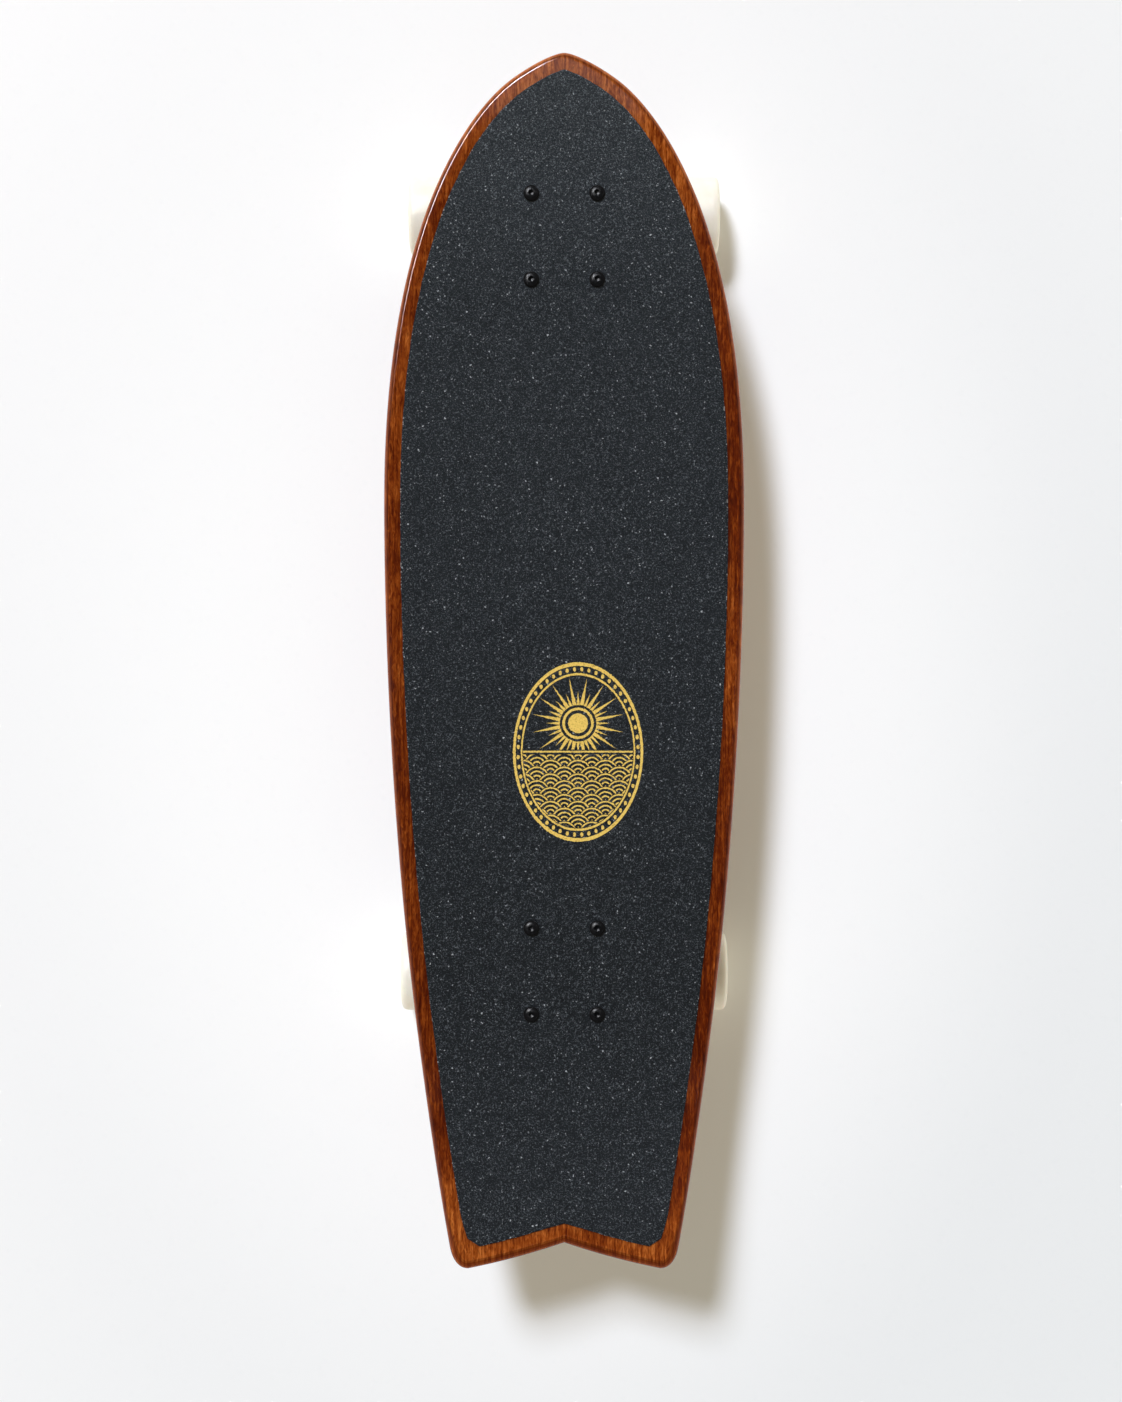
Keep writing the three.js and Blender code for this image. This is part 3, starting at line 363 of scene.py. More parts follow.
def softened(points, cut, steps=3):
    """A profile of (radius, height) points whose corners are rounded by about cut."""
    rounded = [points[0]]
    for before, corner, after in zip(points, points[1:], points[2:]):
        before, corner, after = np.array(before), np.array(corner), np.array(after)
        start = corner + (before - corner) * min(0.45, cut / np.hypot(*(before - corner)))
        end = corner + (after - corner) * min(0.45, cut / np.hypot(*(after - corner)))
        for share in rows_between(0, 1, steps):
            rest = 1 - share
            rounded.append(tuple(rest**2 * start + 2 * rest * share * corner + share**2 * end))
    return rounded + [points[-1]]


def softened_ring(points, cut):
    """As softened, for a profile whose ends meet."""
    return softened([points[-1], *points, points[0]], cut)[1:-1]


def lathe(profile, place, sides):
    """Corners and faces of a body turned from (radius, height) rows. A radius is a number or a function
    of the angles and the height. A radius of 0 closes the body; otherwise its ends meet."""
    angles = np.arange(sides) * TURN / sides
    matrix = place.matrix()
    corners, rings = [], []
    for radius, height in profile:
        if radius == 0:
            rings.append([len(corners)] * sides)
            corners.append(matrix @ Vector((0, 0, height)))
            continue
        radii = radius(angles, height) if callable(radius) else np.full(sides, radius)
        rings.append(range(len(corners), len(corners) + sides))
        for angle, reach in zip(angles, radii):
            corners.append(matrix @ Vector((reach * math.cos(angle), reach * math.sin(angle), height)))
    if rings[0][0] != rings[0][1]:
        rings.append(rings[0])
    return corners, [face for low, high in zip(rings, rings[1:]) for face in band(low, high)]


def loft(rings):
    """Corners and faces of a closed body through rings that have equally many corners."""
    size = len(rings[0])
    corners = [corner for ring in rings for corner in ring]
    numbers = [range(start, start + size) for start in range(0, len(corners), size)]
    faces = [tuple(reversed(numbers[0])), tuple(numbers[-1])]
    for low, high in zip(numbers, numbers[1:]):
        faces += band(low, high)
    return corners, faces


# Pieces


def linked(name, data):
    """A new object in the scene."""
    obj = bpy.data.objects.new(name, data)
    bpy.context.scene.collection.objects.link(obj)
    return obj


def through_bmesh(mesh, change):
    """Lets a bmesh operation change a mesh."""
    body = bmesh.new()
    body.from_mesh(mesh)
    change(body)
    body.to_mesh(mesh)
    body.free()


def mesh_object(name, corners, faces, look, sharp_over=35 * DEGREE):
    mesh = bpy.data.meshes.new(name)
    mesh.from_pydata([tuple(c) for c in corners], [], faces)
    through_bmesh(mesh, lambda body: bmesh.ops.recalc_face_normals(body, faces=body.faces))
    mesh.shade_smooth()
    mesh.set_sharp_from_angle(angle=sharp_over)
    mesh.materials.append(look)
    return linked(name, mesh)


def point_values(obj, name, values):
    """Gives each corner of a piece a value that its finish reads."""
    attribute = obj.data.attributes.new(name, "FLOAT", "POINT")
    attribute.data.foreach_set("value", np.array(values, np.float32))


def stand_in(obj, node):
    """The piece takes the place, the body and the finish of a solid."""
    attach(obj, BODY_OF[node])
    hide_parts(node)


def shape_of(node, corners, faces, sharp_over=35 * DEGREE):
    """A finer form of a solid, in its finish."""
    return mesh_object(f"{node}_shape", corners, faces, LOOKS[SLOT_OF[node]], sharp_over)


def turned_piece(node, profile, place, sides, sharp_over=35 * DEGREE):
    stand_in(shape_of(node, *lathe(profile, place, sides), sharp_over), node)


def bend_between(obj, node, bodies, start, end):
    """The piece stands for a solid, which is hidden; the piece's place is baked into its mesh. The bodies, start
    and end are not used.
    """
    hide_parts(node)
    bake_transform(obj)


# Materials


class Signal:
    """A node's output, which can be reckoned with. The sign | takes the greater of two masks."""

    def __init__(self, nodes, socket):
        self.nodes = nodes
        self.socket = socket

    def math(self, operation, *others):
        inputs = dict(enumerate((self, *others)))
        return self.nodes.add("ShaderNodeMath", 0, inputs, operation=operation)

    __add__ = partialmethod(math, "ADD")
    __sub__ = partialmethod(math, "SUBTRACT")
    __mul__ = partialmethod(math, "MULTIPLY")
    __truediv__ = partialmethod(math, "DIVIDE")
    __lt__ = partialmethod(math, "LESS_THAN")
    __gt__ = partialmethod(math, "GREATER_THAN")
    __or__ = partialmethod(math, "MAXIMUM")
    size = partialmethod(math, "ABSOLUTE")
    fract = partialmethod(math, "FRACT")

    def step(self, low, high):
        """0 below low, 1 above high and smooth between them, or the reverse where low is the higher."""
        inputs = {"Value": self, "From Min": low, "From Max": high}
        return self.nodes.add("ShaderNodeMapRange", 0, inputs, interpolation_type="SMOOTHSTEP")


def hypotenuse(across, along):
    return (across * across + along * along).math("SQRT")


class Nodes:
    """A node tree and short ways to add to it. Values are signals or constants."""

    def __init__(self, tree):
        self.tree = tree

    def node(self, kind, **settings):
        node = self.tree.nodes.new(kind)
        for setting, value in settings.items():
            setattr(node, setting, value)
        return node

    def feed(self, place, value):
        if isinstance(value, Signal):
            self.tree.links.new(value.socket, place)
        else:
            place.default_value = value

    def add(self, kind, result=0, inputs=None, **settings):
        """The result of a new node. The inputs' keys are the names or numbers of its sockets."""
        node = self.node(kind, **settings)
        for socket, value in (inputs or {}).items():
            self.feed(node.inputs[socket], value)
        return Signal(self, node.outputs[result])

    def vector(self, operation, *values, result="Vector"):
        inputs = dict(enumerate(values))
        return self.add("ShaderNodeVectorMath", result, inputs, operation=operation)

    def scaled(self, colour, share):
        """The colour made brighter or darker."""
        return self.add("ShaderNodeVectorMath", 0, {0: colour, "Scale": share}, operation="SCALE")

    def parts(self, vector):
        node = self.node("ShaderNodeSeparateXYZ")
        self.feed(node.inputs[0], vector)
        return [Signal(self, socket) for socket in node.outputs]

    def ramp(self, value, *stops):
        node = self.node("ShaderNodeValToRGB")
        elements = node.color_ramp.elements
        while len(elements) < len(stops):
            elements.new(0.5)
        for element, (position, colour) in zip(elements, stops):
            element.position = position
            element.color = (*colour, 1)
        self.feed(node.inputs[0], value)
        return Signal(self, node.outputs["Color"])

    def mix(self, share, *colours):
        """The first colour where share is 0 and the second where it is 1."""
        first, second = [c if isinstance(c, Signal) else (*c, 1) for c in colours]
        return self.add("ShaderNodeMix", 2, {0: share, 6: first, 7: second}, data_type="RGBA")


class Finish(Nodes):
    """One material: its shader and the nodes that drive it, in the frame's own coordinates."""

    def __init__(self, name, **constants):
        self.material = bpy.data.materials.new(name)
        self.material.use_nodes = True
        super().__init__(self.material.node_tree)
        self.shader = self.tree.nodes["Principled BSDF"]
        for words, value in constants.items():
            self.shader.inputs[words.replace("_", " ")].default_value = value
        self.coordinates = self.add("ShaderNodeTexCoord", "Object")

    def drive(self, socket, value):
        self.feed(self.shader.inputs[socket], value)

    def axes(self):
        return self.parts(self.coordinates)

    def attribute(self, name):
        return self.add("ShaderNodeAttribute", "Fac", attribute_name=name)

    def stretched(self, size, push=None):
        """The coordinates in units of size, a length along each axis, pushed by a signal across."""
        places = self.vector("DIVIDE", self.coordinates, size)
        if push is None:
            return places
        return self.vector("ADD", places, self.add("ShaderNodeCombineXYZ", 0, {"X": push}))

    def noise(self, size, detail=2, push=None, roughness=0.5, swirl=0.0):
        if not isinstance(size, tuple):
            size = (size, size, size)
        inputs = {
            "Vector": self.stretched(size, push),
            "Scale": 1,
            "Detail": detail,
            "Roughness": roughness,
            "Distortion": swirl,
        }
        return self.add("ShaderNodeTexNoise", "Fac", inputs)

    def cells(self, size, warp=0.0):
        """The distance from the nearest cell's middle, in cells, and a random value for each cell. A
        warp pulls the round cells out of shape."""
        places = self.stretched((size, size, size))
        if warp:
            inputs = {"Vector": places, "Scale": 1.7, "Detail": 1}
            drift = self.add("ShaderNodeTexNoise", "Color", inputs)
            places = self.vector("MULTIPLY_ADD", drift, (warp, warp, 0), places)
        node = self.node("ShaderNodeTexVoronoi")
        self.feed(node.inputs["Vector"], places)
        self.feed(node.inputs["Scale"], 1)
        distance, colour = [Signal(self, node.outputs[name]) for name in ("Distance", "Color")]
        return distance, self.add("ShaderNodeSeparateColor", 0, {0: colour})

    def bump(self, height, depth):
        """Tilts the surface as a relief of the given depth would."""
        self.drive("Normal", self.add("ShaderNodeBump", 0, {"Distance": depth, "Height": height}))


def make_wood():
    """Red-brown wood with a mottled figure and dark pores along the board, under a clear glossy coat. Painted
    light: lighter ends and a lighter shoulder, and painted shade on the tail's shoulder and along the crease.
    """
    wood = Finish(
        "lacquered_wood",
        Specular_IOR_Level=0.0,
        Coat_Weight=0.8,
        Coat_Roughness=0.12,
        Coat_IOR=1.42,
    )
    _, y, _ = wood.axes()
    sway = wood.noise((30 * MM, 160 * MM, 30 * MM), detail=1)
    push = (sway - 0.5) * 3.0
    streaks = wood.noise((1.3 * MM, 26 * MM, 8 * MM), detail=3, push=push, roughness=0.6)
    figure = wood.noise((1.7 * MM, 6.5 * MM, 4 * MM), detail=3, push=push, swirl=1.2)
    mottle = wood.noise((7 * MM, 16 * MM, 8 * MM), detail=2, push=push, swirl=0.8)
    broad = wood.noise((20 * MM, 120 * MM, 30 * MM), detail=2, push=push)
    grain = streaks * 0.35 + figure * 0.3 + mottle * 0.15 + broad * 0.2
    depth = wood.attribute("depth")
    plies = depth / (DECK_THICKNESS / PLIES)
    ply = plies.math("FLOOR").math("MODULO", 2.0) - 0.5
    glue = (plies.fract() - 0.5).size().step(0.42, 0.47)
    below = depth.step(0.4 * MM, 0.7 * MM)
    contrast = below * -0.9 + 2.1
    tail = y.step(-0.28, -0.36)
    # Painted light along the board: a painted reflection makes the wood lighter toward the nose, painted light
    # makes it lighter on the raised tail, and it is a little darker over the rear half.
    ends = y.step(0.22, 0.34) * 0.15 + tail * 0.19 - y.step(0.0, -0.1) * 0.06
    # Besides the alternating plies, painted light on the shoulder: a painted sheen makes it lighter, and painted
    # shade makes it darker at the tail.
    sides = (ply * 0.12 + tail * -0.2 + 0.13) * below
    colour = wood.ramp(
        (grain - 0.5) * contrast + 0.5 + sides + ends,
        (0.22, (0.042, 0.0040, 0.0002)),
        (0.40, (0.090, 0.0110, 0.0006)),
        (0.52, (0.150, 0.0245, 0.0018)),
        (0.66, (0.255, 0.0540, 0.0060)),
        (0.86, (0.460, 0.1300, 0.0220)),
    )
    pores = wood.noise((0.45 * MM, 3.4 * MM, 2 * MM), detail=2, push=push).step(0.58, 0.66)
    pores = pores * (below * -0.7 + 1.0)
    # Painted shade: a thin dark line along the crease, where the top face turns into the shoulder.
    painted_crease_shade = depth.step(0.04 * MM, 0.2 * MM) * depth.step(1.1 * MM, 0.5 * MM)
    dark = pores * 0.55 | painted_crease_shade * 0.4 | glue * below * 0.45
    wood.drive("Base Color", wood.mix(dark, colour, (0.028, 0.0040, 0.0006)))
    wood.drive("Roughness", streaks * 0.3 + 0.3)
    wood.bump(pores * -0.6 + figure * 0.4, 0.03 * MM)
    return wood.material


def oval_border(x, y):
    """Two lines round an oval with a row of beads between them, and the field inside. The oval reaches
    1 along each axis."""
    oval = hypotenuse(x, y)
    lines = ((oval - 0.975).size() < 0.02) | ((oval - 0.862).size() < 0.012)
    from_bead = (y.math("ARCTAN2", x) * (BEADS / TURN)).fract() - 0.5
    beads = hypotenuse(from_bead * (0.92 * TURN / BEADS), oval - 0.918) < 0.024
    return lines | beads, oval < 0.84


def rayed_sun(x, y):
    """A disc in a ring, with long rays and short ones between them."""
    reach = hypotenuse(x, y)
    disc = reach < 6.2 * MM
    ring = (reach - 9 * MM).size() < 0.8 * MM
    off_ray = ((y.math("ARCTAN2", x) * (RAYS / TURN)).fract() - 0.5).size()
    off_long = off_ray * reach * (TURN / RAYS)
    off_short = (off_ray - 0.5).size() * reach * (TURN / RAYS)
    long_taper = (reach * -1 + 29 * MM) * 0.07
    short_taper = (reach * -1 + 20 * MM) * 0.11
    rays = (off_long < long_taper) | (off_short < short_taper)
    return disc | ring | rays * (reach > 11.5 * MM)


def scale_waves(x, y):
    """Rows of round scales, each in front of the row above it."""
    far = 40 * WAVE_RADIUS
    row_height = WAVE_RADIUS / 2
    drop = y * -1 + far
    lowest = ((drop + WAVE_RADIUS) / row_height).math("FLOOR")
    waves = None
    for behind in (3, 2, 1, 0):
        row = lowest - behind
        shift = row.math("MODULO", 2.0) * WAVE_RADIUS
        across = (((x + far + shift) / (2 * WAVE_RADIUS)).fract() - 0.5) * (2 * WAVE_RADIUS)
        reach = hypotenuse(across, drop - row * row_height) / WAVE_RADIUS
        lines = (reach * 3.4 + 0.18).fract() < 0.36
        shown = reach < 1.0
        waves = lines if waves is None else shown * (lines - waves) + waves
    return waves


def oval_medallion(grip, x, y):
    """A gold print: a beaded oval border round a rayed sun over scale-shaped waves."""
    wobble = (grip.noise(1.1 * MM) - 0.5) * (0.9 * MM)
    x = x - PRINT_MIDDLE[0] + wobble
    y = y - PRINT_MIDDLE[1] + wobble
    border, inside = oval_border(x / PRINT_HALF[0], y / PRINT_HALF[1])
    sun = rayed_sun(x, y - 18 * MM) * (y > 1.5 * MM)
    waves = scale_waves(x, y) * (y < -1.6 * MM)
    horizon = (y - 0.2 * MM).size() < 0.55 * MM
    return (sun | waves | horizon) * inside | border


def make_grip():
    """Charcoal grit with paler grains and painted worm-shaped glints, worn a little, with a gold print. Painted
    sheen makes it lighter toward the nose.
    """
    grip = Finish("grip_tape", Roughness=0.95, Specular_IOR_Level=0.1)
    x, y, _ = grip.axes()
    lengthwise = (y / HALF_LENGTH) * 0.5 + 0.5
    # The grit's tone along the board, with painted sheen: painted much lighter toward the nose and a little
    # lighter at the tail end.
    grit_and_painted_sheen = grip.ramp(
        lengthwise,
        (0.0, (0.0125, 0.0145, 0.0170)),
        (0.25, (0.0100, 0.0118, 0.0136)),
        (0.55, (0.0132, 0.0155, 0.0182)),
        (0.8, (0.0158, 0.0185, 0.0215)),
        (1.0, (0.0290, 0.0335, 0.0380)),
    )
    patches = grip.noise(24 * MM, detail=3)
    distance, lottery = grip.cells(1.1 * MM, warp=0.5)
    grains = distance.step(0.55, 0.1)
    wear = grip.noise(1.15 * MM, detail=2, roughness=0.75)
    dust = grip.noise(0.5 * MM, detail=1)
    shade = (grains - 0.4) * (lottery * 0.8 + 0.3)
    tone = (patches - 0.5) * 0.15 + shade + (dust - 0.5) * 2.3 + 1.19
    base = grip.scaled(grit_and_painted_sheen, tone.math("MAXIMUM", 0.15))
    # Painted glints: paler worm-shaped strokes that stand in for the grit's glints.
    painted_glints = (grip.noise(1.4 * MM, detail=0, swirl=0.4) - 0.5).size().step(0.07, 0.02)
    painted_glints = painted_glints * grip.noise(1.1 * MM, detail=0).step(0.47, 0.53)
    # The painted glints are painted stronger toward the nose, as painted sheen.
    painted_glint_strength = lengthwise.step(0.75, 1.0) * 0.35 + 0.6
    base = grip.mix(painted_glints * painted_glint_strength, base, (0.112, 0.126, 0.141))
    distance, lottery = grip.cells(2.3 * MM, warp=0.9)
    faint = distance.step(0.18, 0.09) * (lottery > 0.4) * 0.4
    bright = distance.step(0.22, 0.13) * (lottery > 0.93) * 0.65
    specks = faint | bright
    base = grip.mix(specks, base, (0.60, 0.64, 0.68))
    edge = grip.attribute("edge").step(0.82, 0.98)
    distance, lottery = grip.cells(1.5 * MM)
    chips = distance.step(0.42, 0.28) * (lottery > 0.66) * edge
    base = grip.mix(chips * 0.7, base, (0.42, 0.40, 0.37))
    print_mask = oval_medallion(grip, x, y) * (wear.step(0.30, 0.42) * 0.4 + 0.6)
    gold = grip.ramp(wear, (0.3, (0.66, 0.43, 0.085)), (0.6, (0.86, 0.61, 0.15)))
    grip.drive("Base Color", grip.mix(print_mask * 0.94, base, gold))
    distance, _ = grip.cells(0.42 * MM)
    grip.bump(distance * -0.7 + grains * 0.7 + specks * 0.5, 0.2 * MM)
    return grip.material


def make_urethane():
    """Off-white cast urethane, satin, with a little dust and fine scuffs."""
    wheel = Finish("wheel_urethane", Subsurface_Weight=0.08, Subsurface_Scale=2.5 * MM)
    clouds = wheel.noise(9 * MM, detail=3)
    dust = wheel.noise(0.9 * MM, detail=3, roughness=0.7)
    clean = wheel.ramp(clouds, (0.3, (0.87, 0.835, 0.72)), (0.7, (0.92, 0.89, 0.785)))
    wheel.drive("Base Color", wheel.mix(dust.step(0.6, 0.78) * 0.22, clean, (0.55, 0.51, 0.43)))
    scuffs = wheel.noise((1.5 * MM, 0.6 * MM, 0.6 * MM), detail=3)
    wheel.drive("Roughness", scuffs * 0.25 + 0.32)
    wheel.bump(dust * 0.6 + scuffs * 0.4, 0.03 * MM)
    return wheel.material


def make_bushing():
    """Cream urethane, a little see-through at its edges."""
    bushing = Finish("bushing_urethane", Subsurface_Weight=0.3, Subsurface_Scale=3 * MM)
    clouds = bushing.noise(6 * MM, detail=2)
    tones = ((0.3, (0.62, 0.49, 0.29)), (0.7, (0.74, 0.62, 0.41)))
    bushing.drive("Base Color", bushing.ramp(clouds, *tones))
    fine = bushing.noise(0.7 * MM, detail=2)
    bushing.drive("Roughness", fine * 0.2 + 0.3)
    bushing.bump(fine, 0.03 * MM)
    return bushing.material


def make_metal(name, dark, pale, grain, depth, rough_low, rough_high):
    """A metal whose colour, gloss and fine relief follow a grain of the given size."""
    metal = Finish(name, Metallic=1.0)
    fine = metal.noise(grain, detail=3, roughness=0.6)
    coarse = metal.noise(12 * grain, detail=2)
    metal.drive("Base Color", metal.ramp(fine * 0.6 + coarse * 0.4, (0.32, dark), (0.68, pale)))
    metal.drive("Roughness", (fine * 0.5 + coarse * 0.5) * (rough_high - rough_low) + rough_low)
    metal.bump(fine, depth)
    return metal.material


def make_coated(name, dark, pale, peel, depth, rough_low, rough_high, gloss=0.5):
    """Paint or plastic with a fine orange-peel or moulded texture."""
    coat = Finish(name, Specular_IOR_Level=gloss)
    texture = coat.noise(peel, detail=2)
    fleck = coat.noise(peel / 4, detail=2)
    coat.drive("Base Color", coat.ramp(texture * 0.5 + fleck * 0.5, (0.3, dark), (0.7, pale)))
    coat.drive("Roughness", fleck * (rough_high - rough_low) + rough_low)
    coat.bump(texture * 0.7 + fleck * 0.3, depth)
    return coat.material


# Dark and pale colour, size of the grain, depth of the relief, lowest and highest roughness
METALS = {
    "cast_metal": ((0.40, 0.405, 0.41), (0.60, 0.605, 0.61), 0.55 * MM, 0.07 * MM, 0.34, 0.56),
    "zinc_steel": ((0.50, 0.51, 0.52), (0.68, 0.69, 0.70), 0.5 * MM, 0.012 * MM, 0.18, 0.38),
    "spring_steel": ((0.10, 0.105, 0.115), (0.20, 0.205, 0.22), 0.5 * MM, 0.02 * MM, 0.22, 0.4),
    "bronze": ((0.40, 0.24, 0.10), (0.58, 0.37, 0.16), 0.5 * MM, 0.015 * MM, 0.25, 0.42),
    "bearing_steel": ((0.58, 0.59, 0.60), (0.74, 0.75, 0.76), 0.4 * MM, 0.006 * MM, 0.12, 0.24),
}

# The same for coats, whose grain is the size of the peel, and the gloss of some
BLACK_STEEL = ((0.002, 0.002, 0.0025), (0.006, 0.006, 0.0065))
BLACK_CASTING = ((0.011, 0.011, 0.012), (0.022, 0.022, 0.024))
BLACK_PLASTIC = ((0.013, 0.013, 0.014), (0.026, 0.026, 0.027))
COATS = {
    "black_steel": (*BLACK_STEEL, 1.2 * MM, 0.008 * MM, 0.28, 0.38, 0.12),
    "black_casting": (*BLACK_CASTING, 0.9 * MM, 0.05 * MM, 0.32, 0.5),
    "black_plastic": (*BLACK_PLASTIC, 0.7 * MM, 0.05 * MM, 0.5, 0.7, 0.4),
    "nylon": ((0.56, 0.57, 0.56), (0.70, 0.71, 0.69), 0.8 * MM, 0.02 * MM, 0.35, 0.5),
    "bearing_shield": ((0.02, 0.02, 0.022), (0.04, 0.04, 0.043), 0.6 * MM, 0.02 * MM, 0.35, 0.5),
}

LOOKS = {
    "lacquered_wood": make_wood(),
    "grip_tape": make_grip(),
    "wheel_urethane": make_urethane(),
    "bushing_urethane": make_bushing(),
    **{name: make_metal(name, *row) for name, row in METALS.items()},
    **{name: make_coated(name, *row) for name, row in COATS.items()},
}


# Deck and grip tape


def deck_rows():
    """The deck's layers from its lower edge over the shoulder and the crease to its top, as (share of
    the crease's inset, further inset, height)."""
    for angle in rows_between(math.pi / 2, 0, LOWER_STEPS):
        inset = LOWER_RADIUS * (1 - math.cos(angle))
        yield 0, inset, -DECK_THICKNESS + LOWER_RADIUS * (1 - math.sin(angle))
    reach, rise = 1 - math.cos(SHOULDER_SWEEP), math.sin(SHOULDER_SWEEP)
    crease_height = -CREASE_RADIUS * (1 - math.cos(CREASE_TILT))
    for angle in rows_between(0, SHOULDER_SWEEP, SHOULDER_STEPS):
        climbed = math.sin(angle) / rise
        height = -SHOULDER_DEPTH + (SHOULDER_DEPTH + crease_height) * climbed
        yield (1 - math.cos(angle)) / reach, 0, height
    for tilt in rows_between(CREASE_TILT, 0, CREASE_STEPS)[1:]:
        further = CREASE_RADIUS * (math.sin(CREASE_TILT) - math.sin(tilt))
        yield 1, further, -CREASE_RADIUS * (1 - math.cos(tilt))


def make_deck():
    crease = end_inset(*CREASE_INSETS)
    layers = [(lambda p, s=share, i=inset: s * crease(p) + i, z) for share, inset, z in deck_rows()]
    corners, faces, depths, _ = board_mesh(layers, deck_half)
    deck = shape_of("deck", corners, faces, 30 * DEGREE)
    point_values(deck, "depth", depths)
    stand_in(deck, "deck")


def make_grip_tape():
    plain = end_inset(*GRIP_INSETS)

    def ragged(point):
        coarse = noise.noise(Vector((point[0], point[1], 0)) / (7 * MM))
        fine = noise.noise(Vector((point[0], point[1], 1)) / (2.2 * MM))
        return plain(point) + GRIP_RAGGEDNESS * (0.6 * coarse + 0.8 * fine)

    top = GRIP_TOP - DECK_TOP
    layers = [
        (ragged, top - GRIP_THICKNESS),
        (ragged, top - GRIP_SOFT_EDGE),
        (lambda p: ragged(p) + GRIP_SOFT_EDGE, top),
    ]
    corners, faces, depths, rim = board_mesh(layers, grip_half)
    tape = shape_of("grip_tape", corners, faces, 60 * DEGREE)
    edge = np.array(depths) > -top + 0.5 * GRIP_SOFT_EDGE
    edge[rim] = True
    point_values(tape, "edge", edge)
    stand_in(tape, "grip_tape")


# Bolts, nuts and the kingpins


def bolt_place(node):
    low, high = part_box(node)
    middle = (low + high) / 2
    return Place((middle.x, middle.y, 0), (0, 0, 1))


def make_bolt(number):
    """A button-head bolt with a hexagon socket."""
    node = f"deck_bolt_{number}"
    place = bolt_place(node)
    bottom, top, head = place.span(node)
    shank, socket, rim, crown = 2.4 * MM, 1.6 * MM, 0.5 * MM, 2.15 * MM
    seat = top - 2.7 * MM
    socket_floor = top - 2.0 * MM
    roundness = 2.5
    apex = (top - seat - rim) / (1 - (crown / head) ** roundness) ** (1 / roundness)
    dome = []
    for angle in rows_between(0, math.acos(crown / head), 12):
        share = math.cos(angle)
        dome.append((head * share, seat + rim + apex * (1 - share**roundness) ** (1 / roundness)))
    profile = [
        *threaded_end("deck_bolt", bottom, shank),
        (shank, seat),
        *rows_at(head, seat, [(-0.25, 0), (0, 0.25)]),
        *dome,
        (hexagon(socket + 0.12 * MM), top),
        (hexagon(socket), top - 0.15 * MM),
        (hexagon(socket), top - 1.6 * MM),
        (0.3 * MM, socket_floor),
        (0, socket_floor),
    ]
    turned_piece(node, profile, place, 60)


def make_lock_nut(node, place, bore, up):
    """A hexagon nut whose far end is a round collar with a nylon ring in it. Its seat is its high end
    where up is 1, and its low end where up is -1."""
    low, high, corner = place.span(node)
    seat, end = (high, low) if up == 1 else (low, high)
    half_flats = corner * math.sqrt(3) / 2
    flats = hexagon(half_flats, corner)
    collar, chamfer = (high - low) * 0.28, (high - low) * 0.09
    shoulder = end + up * collar
    lip = end + up * 0.3 * MM
    profile = [
        (bore, seat),
        (half_flats * 0.97, seat),
        (hexagon(half_flats, half_flats * 0.99), seat),
        (flats, seat - up * chamfer),
        (flats, shoulder + up * chamfer),
        (hexagon(half_flats, half_flats * 0.97), shoulder),
        (half_flats * 0.86, shoulder),
        (half_flats * 0.84, shoulder - up * collar * 0.55),
        (half_flats * 0.74, end),
        (half_flats * 0.62, end),
        (half_flats * 0.60, lip),
        (bore, lip),
    ]
    turned_piece(node, profile, place, 72)
    inner, outer = bore * 1.02, half_flats * 0.59
    near, far = end + up * 0.25 * MM, end + up * 0.65 * MM
    square = [(inner, far), (outer, far), (outer, near), (inner, near)]
    ring = lathe(softened(square, 0.1 * MM), place, 48)
    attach(mesh_object(f"{node}_ring", *ring, LOOKS["nylon"]), BODY_OF[node])


for number in range(1, 9):
    make_bolt(number)
    make_lock_nut(f"deck_nut_{number}", bolt_place(f"deck_nut_{number}"), 2.45 * MM, 1)


KINGPIN_RADIUS = 4.76 * MM
KINGPIN_BORE = KINGPIN_RADIUS + 0.25 * MM


def make_kingpin(prefix, place):
    node = f"{prefix}_kingpin"
    bottom, top, head = place.span(node)
    head_bottom = top - 5 * MM
    flats, trimmed = hexagon(head * 0.866, head), hexagon(head * 0.86, head * 0.86)
    profile = [
        *threaded_end("kingpin", bottom, KINGPIN_RADIUS),
        (KINGPIN_RADIUS, head_bottom),
        (trimmed, head_bottom),
        (flats, head_bottom + 0.5 * MM),
        (flats, top - 0.5 * MM),
        (trimmed, top),
        (0, top),
    ]
    turned_piece(node, profile, place, 72)
    make_lock_nut(f"{prefix}_kingpin_nut", place, KINGPIN_RADIUS * 1.02, 1)


def make_washer(prefix, place):
    """A dished washer that holds the lower bushing."""
    node = f"{prefix}_washer"
    low, high, outer = place.span(node)
    wall = 1.5 * MM
    cup = [
        (KINGPIN_BORE, low),
        (outer * 0.80, low),
        (outer, low + 1.3 * MM),
        (outer, high),
        (outer - wall * 0.8, high),
        (outer * 0.76, low + wall),
        (KINGPIN_BORE, low + wall),
    ]
    turned_piece(node, softened(cup, 0.45 * MM, 4), place, 96)


def make_bushing_piece(node, place, profile, bodies, start, end):
    """A turned bushing that stands for its solid. Its bodies, start and end are not used."""
    obj = shape_of(node, *lathe(profile, place, 96))
    bend_between(obj, node, bodies, place.at(start), place.at(end))


